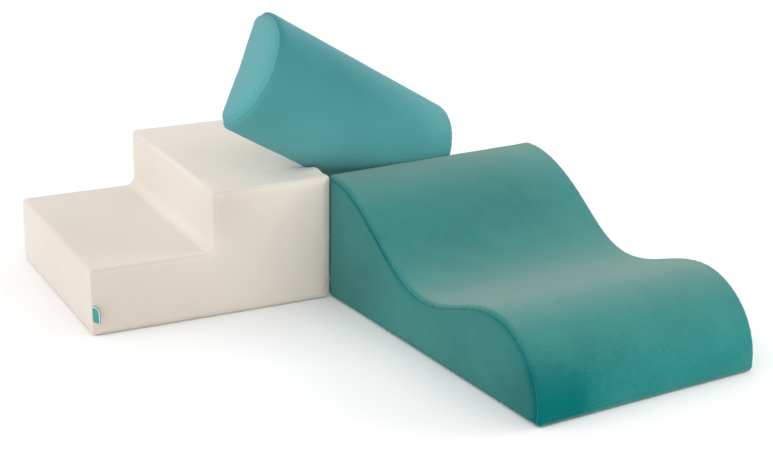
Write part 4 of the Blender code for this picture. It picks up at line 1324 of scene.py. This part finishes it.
def woven_group():
    """Twill: ridges sin(u + v) of the weave over a UV map in metres, with a soft worn tone."""
    inputs = {"Color": (0.5, 0.5, 0.5, 1.0), "Rib Pitch": TAPE_RIB_PITCH, "Depth": RIB_DEPTH}
    group, given, put = new_group("woven_ribbon", inputs, ("Color", "Roughness", "Normal"))
    split = group.nodes.new("ShaderNodeSeparateXYZ")
    plug(group, split, {0: place_on(group, "UV")})
    turn = maths(group, "DIVIDE", math.tau, given["Rib Pitch"])
    ridges = []
    for slant in ("ADD", "SUBTRACT"):
        across = maths(group, slant, split.outputs[0], split.outputs[1])
        ridges.append(maths(group, "SINE", maths(group, "MULTIPLY", across, turn)))
    weave = maths(group, "MAXIMUM", *ridges)
    tone = maths(group, "ADD", maths(group, "MULTIPLY", weave, RIB_LIGHT), RIB_TONE)
    outputs = {
        "Color": toned(group, given["Color"], tone),
        "Roughness": spread(group, weave, 0.82, 0.66, -1.0),
        "Normal": bumped(group, weave, given["Depth"]),
    }
    plug(group, put, outputs)
    return group


def shared(name, make):
    """A node group or material by name, made when it is first asked for."""
    return bpy.data.node_groups.get(name) or bpy.data.materials.get(name) or make()


def new_material(name, tint):
    material = bpy.data.materials.new(name)
    material.use_nodes = True
    material.diffuse_color = (*tint, 1.0)
    return material, material.node_tree, material.node_tree.nodes["Principled BSDF"]


def effect(tree, group, shader, values):
    """Puts a node group in a material and links its outputs to the shader's like-named sockets."""
    made = tree.nodes.new("ShaderNodeGroup")
    made.node_tree = group
    plug(tree, made, values)
    outputs = made.outputs
    plug(tree, shader, {"Base Color": outputs["Color"], "Roughness": outputs["Roughness"], "Normal": outputs["Normal"]})
    return outputs


def velvet(name, tint, deep, veil, sheen, brushed, grain):
    """Velvet: the pile's colour with a painted sheen, mixed towards its pale painted sheen colour as the cloth turns
    away from the viewer and where a painted sky sheen is noted.
    """
    material, tree, shader = new_material(name, tint)
    values = {"Deep Color": (*deep, 1.0), "Light Color": (*tint, 1.0), "Brushed": brushed, "Grain": grain}
    pile = effect(tree, shared("velvet_pile", velvet_group), shader, values)
    # Painted sheen: its share grows with the facing, is scaled by the painted side light, and the painted sky sheen
    # adds to it
    turned = node(tree, "ShaderNodeLayerWeight", {"Blend": 0.5}, "Facing")
    share = maths(tree, "MULTIPLY", spread(tree, turned, 0.0, 1.0, *PAINTED_SHEEN_TURN), pile["Veil"])
    share = maths(tree, "ADD", share, pile["Sky Veil"])
    sockets = {
        "Base Color": mixed(tree, share, pile["Color"], (*veil, 1.0)),
        "Sheen Weight": sheen,
        "Sheen Roughness": SHEEN_ROUGHNESS,
        "Sheen Tint": (*veil, 1.0),
        "Specular IOR Level": VELVET_GLOSS,
    }
    plug(tree, shader, sockets)
    return material


def cover_velvet(scene, kind):
    """The velvet of one cloth, made when it is first asked for."""
    colours = scene.climber_colours
    tint, deep, veil = getattr(colours, kind), getattr(colours, f"{kind}_deep"), getattr(colours, f"{kind}_veil")
    return shared(f"{kind}_velvet", lambda: velvet(f"{kind}_velvet", tint, deep, veil, *VELVETS[kind]))


def woven(name, tint, pitch=TAPE_RIB_PITCH):
    material, tree, shader = new_material(name, tint)
    effect(tree, shared("woven_ribbon", woven_group), shader, {"Color": (*tint, 1.0), "Rib Pitch": pitch})
    plug(tree, shader, {"Sheen Weight": WOVEN_SHEEN})
    return material


def label_ribbon(colours):
    """Teal woven ribbon with a pale line along its rim, drawn from the mesh's rim distance."""
    material = woven("label_ribbon", colours.label, LABEL_RIB_PITCH)
    tree = material.node_tree
    shader = tree.nodes["Principled BSDF"]
    weave = shader.inputs["Base Color"].links[0].from_socket
    off = maths(tree, "ABSOLUTE", maths(tree, "SUBTRACT", noted(tree, "rim"), LABEL_LINE_INSET))
    line = spread(tree, off, 1.0, 0.0, LABEL_LINE_HALF, LABEL_LINE_HALF * LABEL_LINE_SOFT)
    plug(tree, shader, {"Base Color": mixed(tree, line, weave, (*colours.label_line, 1.0))})
    return material


def thread(name, tint):
    """Twisted sewing thread: fine slanting bands of light and dark."""
    material, tree, shader = new_material(name, tint)
    values = {"Vector": place_on(tree), "Scale": THREAD_TWIST, "Distortion": THREAD_BEND}
    twist = node(tree, "ShaderNodeTexWave", values, "Fac", bands_direction="DIAGONAL")
    colour_out = toned(tree, tuple(tint), spread(tree, twist, 0.82, 1.1))
    plug(tree, shader, {"Base Color": colour_out, "Roughness": 0.6, "Normal": bumped(tree, twist, 0.00005)})
    return material


def nylon(name, tint):
    """The coil's nylon: a soft gloss, a little uneven."""
    material, tree, shader = new_material(name, tint)
    cloud = noise(tree, place_on(tree), "nylon")
    colour_out = toned(tree, tuple(tint), spread(tree, cloud, 0.88, 1.12))
    plug(tree, shader, {"Base Color": colour_out, "Roughness": spread(tree, cloud, 0.32, 0.5)})
    return material


def plated_metal(colours):
    """Satin plated zinc: fine brushing along the slider, duller patches and soft scratches."""
    material, tree, shader = new_material("plated_zinc", colours.steel)
    place = place_on(tree)
    brush = noise(tree, place, "brushing")
    sockets = {
        "Base Color": toned(tree, tuple(colours.steel), spread(tree, noise(tree, place, "dulling"), 0.85, 1.1)),
        "Roughness": spread(tree, brush, 0.28, 0.46),
        "Metallic": 1.0,
        "Normal": bumped(tree, brush, 0.00003),
    }
    plug(tree, shader, sockets)
    return material


def foam_material(colours):
    """Open-cell foam: small round cells, a slightly yellowed skin."""
    material, tree, shader = new_material("open_cell_foam", colours.foam)
    place = place_on(tree)
    cells = node(tree, "ShaderNodeTexVoronoi", {"Vector": place, "Scale": FOAM_CELLS}, "Distance")
    aged = spread(tree, noise(tree, place, "ageing"), 0.74, 0.9)
    tone = maths(tree, "ADD", maths(tree, "MULTIPLY", cells, FOAM_CELL_LIGHT), aged)
    colour_out = toned(tree, tuple(colours.foam), tone)
    plug(tree, shader, {"Base Color": colour_out, "Roughness": 0.95, "Normal": bumped(tree, cells, 0.0008)})
    return material


def floor_material(colours):
    """Plain pale paper, a little uneven in its gloss."""
    material, tree, shader = new_material("studio_paper", colours.floor)
    rough = spread(tree, noise(tree, place_on(tree), "paper"), 0.9, 1.0)
    plug(tree, shader, {"Base Color": (*colours.floor, 1.0), "Roughness": rough, "Specular IOR Level": 0.0})
    return material


# Pieces


def finish_piece(obj, body, material, nodes=()):
    """Gives a piece its material, hangs it on its body and hides the CAD parts that it stands for."""
    obj.data.materials.append(material)
    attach(obj, body)
    if nodes:
        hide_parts(*nodes)


def build_cover(scene, name):
    """The two wrapped panels and the two side panels of a block's cover."""
    kind = KINDS[name]
    block = dict(zip(KINDS, make_blocks(scene)))[name]
    made = [(f"{panel}_panel", wrap_panel(f"{name}_{panel}_cover", block, panel)) for panel in kind.wraps]
    for far, panel in enumerate(kind.sides):
        made.append((f"{panel}_{kind.side_name}", side_panel(f"{name}_{panel}_cover", block, bool(far))))
    skin = cover_velvet(scene, kind.cloth)
    for panel, obj in made:
        finish_piece(obj, kind.body, skin, [f"{name}_{panel}"])


def soft_light(name, place, size, power):
    """A round soft light that faces the set."""
    lamp = bpy.data.lights.new(name, "AREA")
    lamp.shape = "DISK"
    lamp.size = size
    lamp.energy = power
    obj = bpy.data.objects.new(name, lamp)
    bpy.context.scene.collection.objects.link(obj)
    facing = Vector(LIGHT_AIM) - Vector(place)
    obj.matrix_world = Matrix.Translation(place) @ facing.to_track_quat("-Z", "Y").to_matrix().to_4x4()


# Operators


class CLIMBER_OT_camera(bpy.types.Operator):
    """Place the camera at the photograph's angle"""

    bl_idname = "climber.camera"
    bl_label = "Camera"

    def execute(self, context):
        place = context.scene.climber_camera
        heading, drop = place.heading, place.drop
        ahead = Vector((math.sin(heading) * math.cos(drop), math.cos(heading) * math.cos(drop), -math.sin(drop)))
        right = Vector((math.cos(heading), -math.sin(heading), 0.0))
        above = right.cross(ahead)
        cos, sin = math.cos(place.roll), math.sin(place.roll)
        axes = Matrix((right * cos + above * sin, above * cos - right * sin, -ahead)).transposed()
        lens = bpy.data.cameras.new("camera")
        lens.sensor_width = SENSOR_WIDTH
        lens.lens = place.lens
        lens.clip_end = VIEW_END
        camera = bpy.data.objects.new("camera", lens)
        context.scene.collection.objects.link(camera)
        stair = make_blocks(context.scene)[0]
        at = Vector(stair.origin) + Vector((place.across, place.back, place.height))
        camera.matrix_world = Matrix.Translation(at) @ axes.to_4x4()
        context.scene.camera = camera
        return {"FINISHED"}


class CLIMBER_OT_stage(bpy.types.Operator):
    """Lay the pale floor and light it softly and evenly"""

    bl_idname = "climber.stage"
    bl_label = "Floor and light"

    def execute(self, context):
        scene, light = context.scene, context.scene.climber_light
        half = light.floor_size / 2
        corners = np.array([(-half, -half, 0), (half, -half, 0), (half, half, 0), (-half, half, 0)])
        floor = new_mesh("studio_floor", corners, np.array([[0, 1, 2, 3]]))
        floor.data.materials.append(floor_material(scene.climber_colours))
        world = bpy.data.worlds.new("studio")
        world.use_nodes = True
        sky = world.node_tree.nodes["Background"]
        plug(world.node_tree, sky, {"Color": (1.0, 1.0, 1.0, 1.0), "Strength": light.sky})
        scene.world = world
        for name, (place, width) in SOFT_LIGHTS.items():
            soft_light(f"soft_{name}", place, width, getattr(light, name))
        scene.view_settings.view_transform = "Standard"
        scene.view_settings.look = "None"
        return {"FINISHED"}


class CLIMBER_OT_foam(bpy.types.Operator):
    """Build the foam inside the three covers"""

    bl_idname = "climber.foam"
    bl_label = "Foam"

    def execute(self, context):
        foam = foam_material(context.scene.climber_colours)
        for (name, kind), block in zip(KINDS.items(), make_blocks(context.scene)):
            finish_piece(foam_block(f"{name}_foam", block), kind.body, foam, [f"{name}_core"])
        return {"FINISHED"}


class CLIMBER_OT_stair_cover(bpy.types.Operator):
    """Build the stair block's four cover panels"""

    bl_idname = "climber.stair_cover"
    bl_label = "Stair cover"

    def execute(self, context):
        build_cover(context.scene, "stair")
        return {"FINISHED"}


class CLIMBER_OT_slide_cover(bpy.types.Operator):
    """Build the slide block's four cover panels"""

    bl_idname = "climber.slide_cover"
    bl_label = "Slide cover"

    def execute(self, context):
        build_cover(context.scene, "slide")
        return {"FINISHED"}


class CLIMBER_OT_half_round_cover(bpy.types.Operator):
    """Build the half-round block's round and flat panels and its two puffed caps"""

    bl_idname = "climber.half_round_cover"
    bl_label = "Half-round cover"

    def execute(self, context):
        build_cover(context.scene, "half_round")
        return {"FINISHED"}


class CLIMBER_OT_zips(bpy.types.Operator):
    """Build the tapes, teeth and stitching of the three zips, and finish their metal"""

    bl_idname = "climber.zips"
    bl_label = "Zips"

    def execute(self, context):
        colours = context.scene.climber_colours
        metal = plated_metal(colours)
        for (name, kind), block in zip(KINDS.items(), make_blocks(context.scene)):
            body, fabric = kind.body, kind.cloth
            tint = np.array(getattr(colours, fabric)) * ZIP_TONE
            band, teeth = zip_tape(f"{name}_zip_band", block), zip_teeth(f"{name}_zip_teeth", block)
            stitches = zip_stitching(f"{name}_zip_stitching", block)
            finish_piece(band, body, woven(f"{fabric}_tape", tint), [f"{name}_zip_tape"])
            finish_piece(teeth, body, nylon(f"{fabric}_nylon", tint), [f"{name}_zip_coil"])
            finish_piece(stitches, body, thread(f"{fabric}_thread", tint))
            for node_name, obj in frame["nodes"].items():
                if node_name.startswith(f"{name}_zip") and ("stop" in node_name or "slider" in node_name):
                    obj.data.materials.clear()
                    obj.data.materials.append(metal)
        return {"FINISHED"}


class CLIMBER_OT_label(bpy.types.Operator):
    """Build the folded ribbon label in the stair block's front left seam"""

    bl_idname = "climber.label"
    bl_label = "Label"

    def execute(self, context):
        scene = context.scene
        obj = label_loop("stair_label_loop", make_blocks(scene)[0], scene.climber_label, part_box("stair_label"))
        finish_piece(obj, "stair_block", label_ribbon(scene.climber_colours), ["stair_label"])
        return {"FINISHED"}


OPERATORS = (
    CLIMBER_OT_camera,
    CLIMBER_OT_stage,
    CLIMBER_OT_foam,
    CLIMBER_OT_stair_cover,
    CLIMBER_OT_slide_cover,
    CLIMBER_OT_half_round_cover,
    CLIMBER_OT_zips,
    CLIMBER_OT_label,
)


class CLIMBER_PT_panel(bpy.types.Panel):
    """The climber's pieces, in the order in which they are built"""

    bl_idname = "CLIMBER_PT_panel"
    bl_label = "Soft Play Climber"
    bl_space_type = "VIEW_3D"
    bl_region_type = "UI"
    bl_category = "Climber"

    def draw(self, context):
        for operator in OPERATORS:
            self.layout.operator(operator.bl_idname)
        for key in SETTINGS:
            box = self.layout.box()
            group = getattr(context.scene, key)
            for name in group.__annotations__:
                box.prop(group, name)


def register():
    for key, group in SETTINGS.items():
        bpy.utils.register_class(group)
        setattr(bpy.types.Scene, key, PointerProperty(type=group))
    for cls in (*OPERATORS, CLIMBER_PT_panel):
        bpy.utils.register_class(cls)


def unregister():
    for cls in reversed((*OPERATORS, CLIMBER_PT_panel)):
        bpy.utils.unregister_class(cls)
    for key, group in SETTINGS.items():
        delattr(bpy.types.Scene, key)
        bpy.utils.unregister_class(group)


def main():
    register()
    for operator in OPERATORS:
        getattr(bpy.ops.climber, operator.bl_idname.split(".")[1])()


if __name__ == "__main__":
    main()
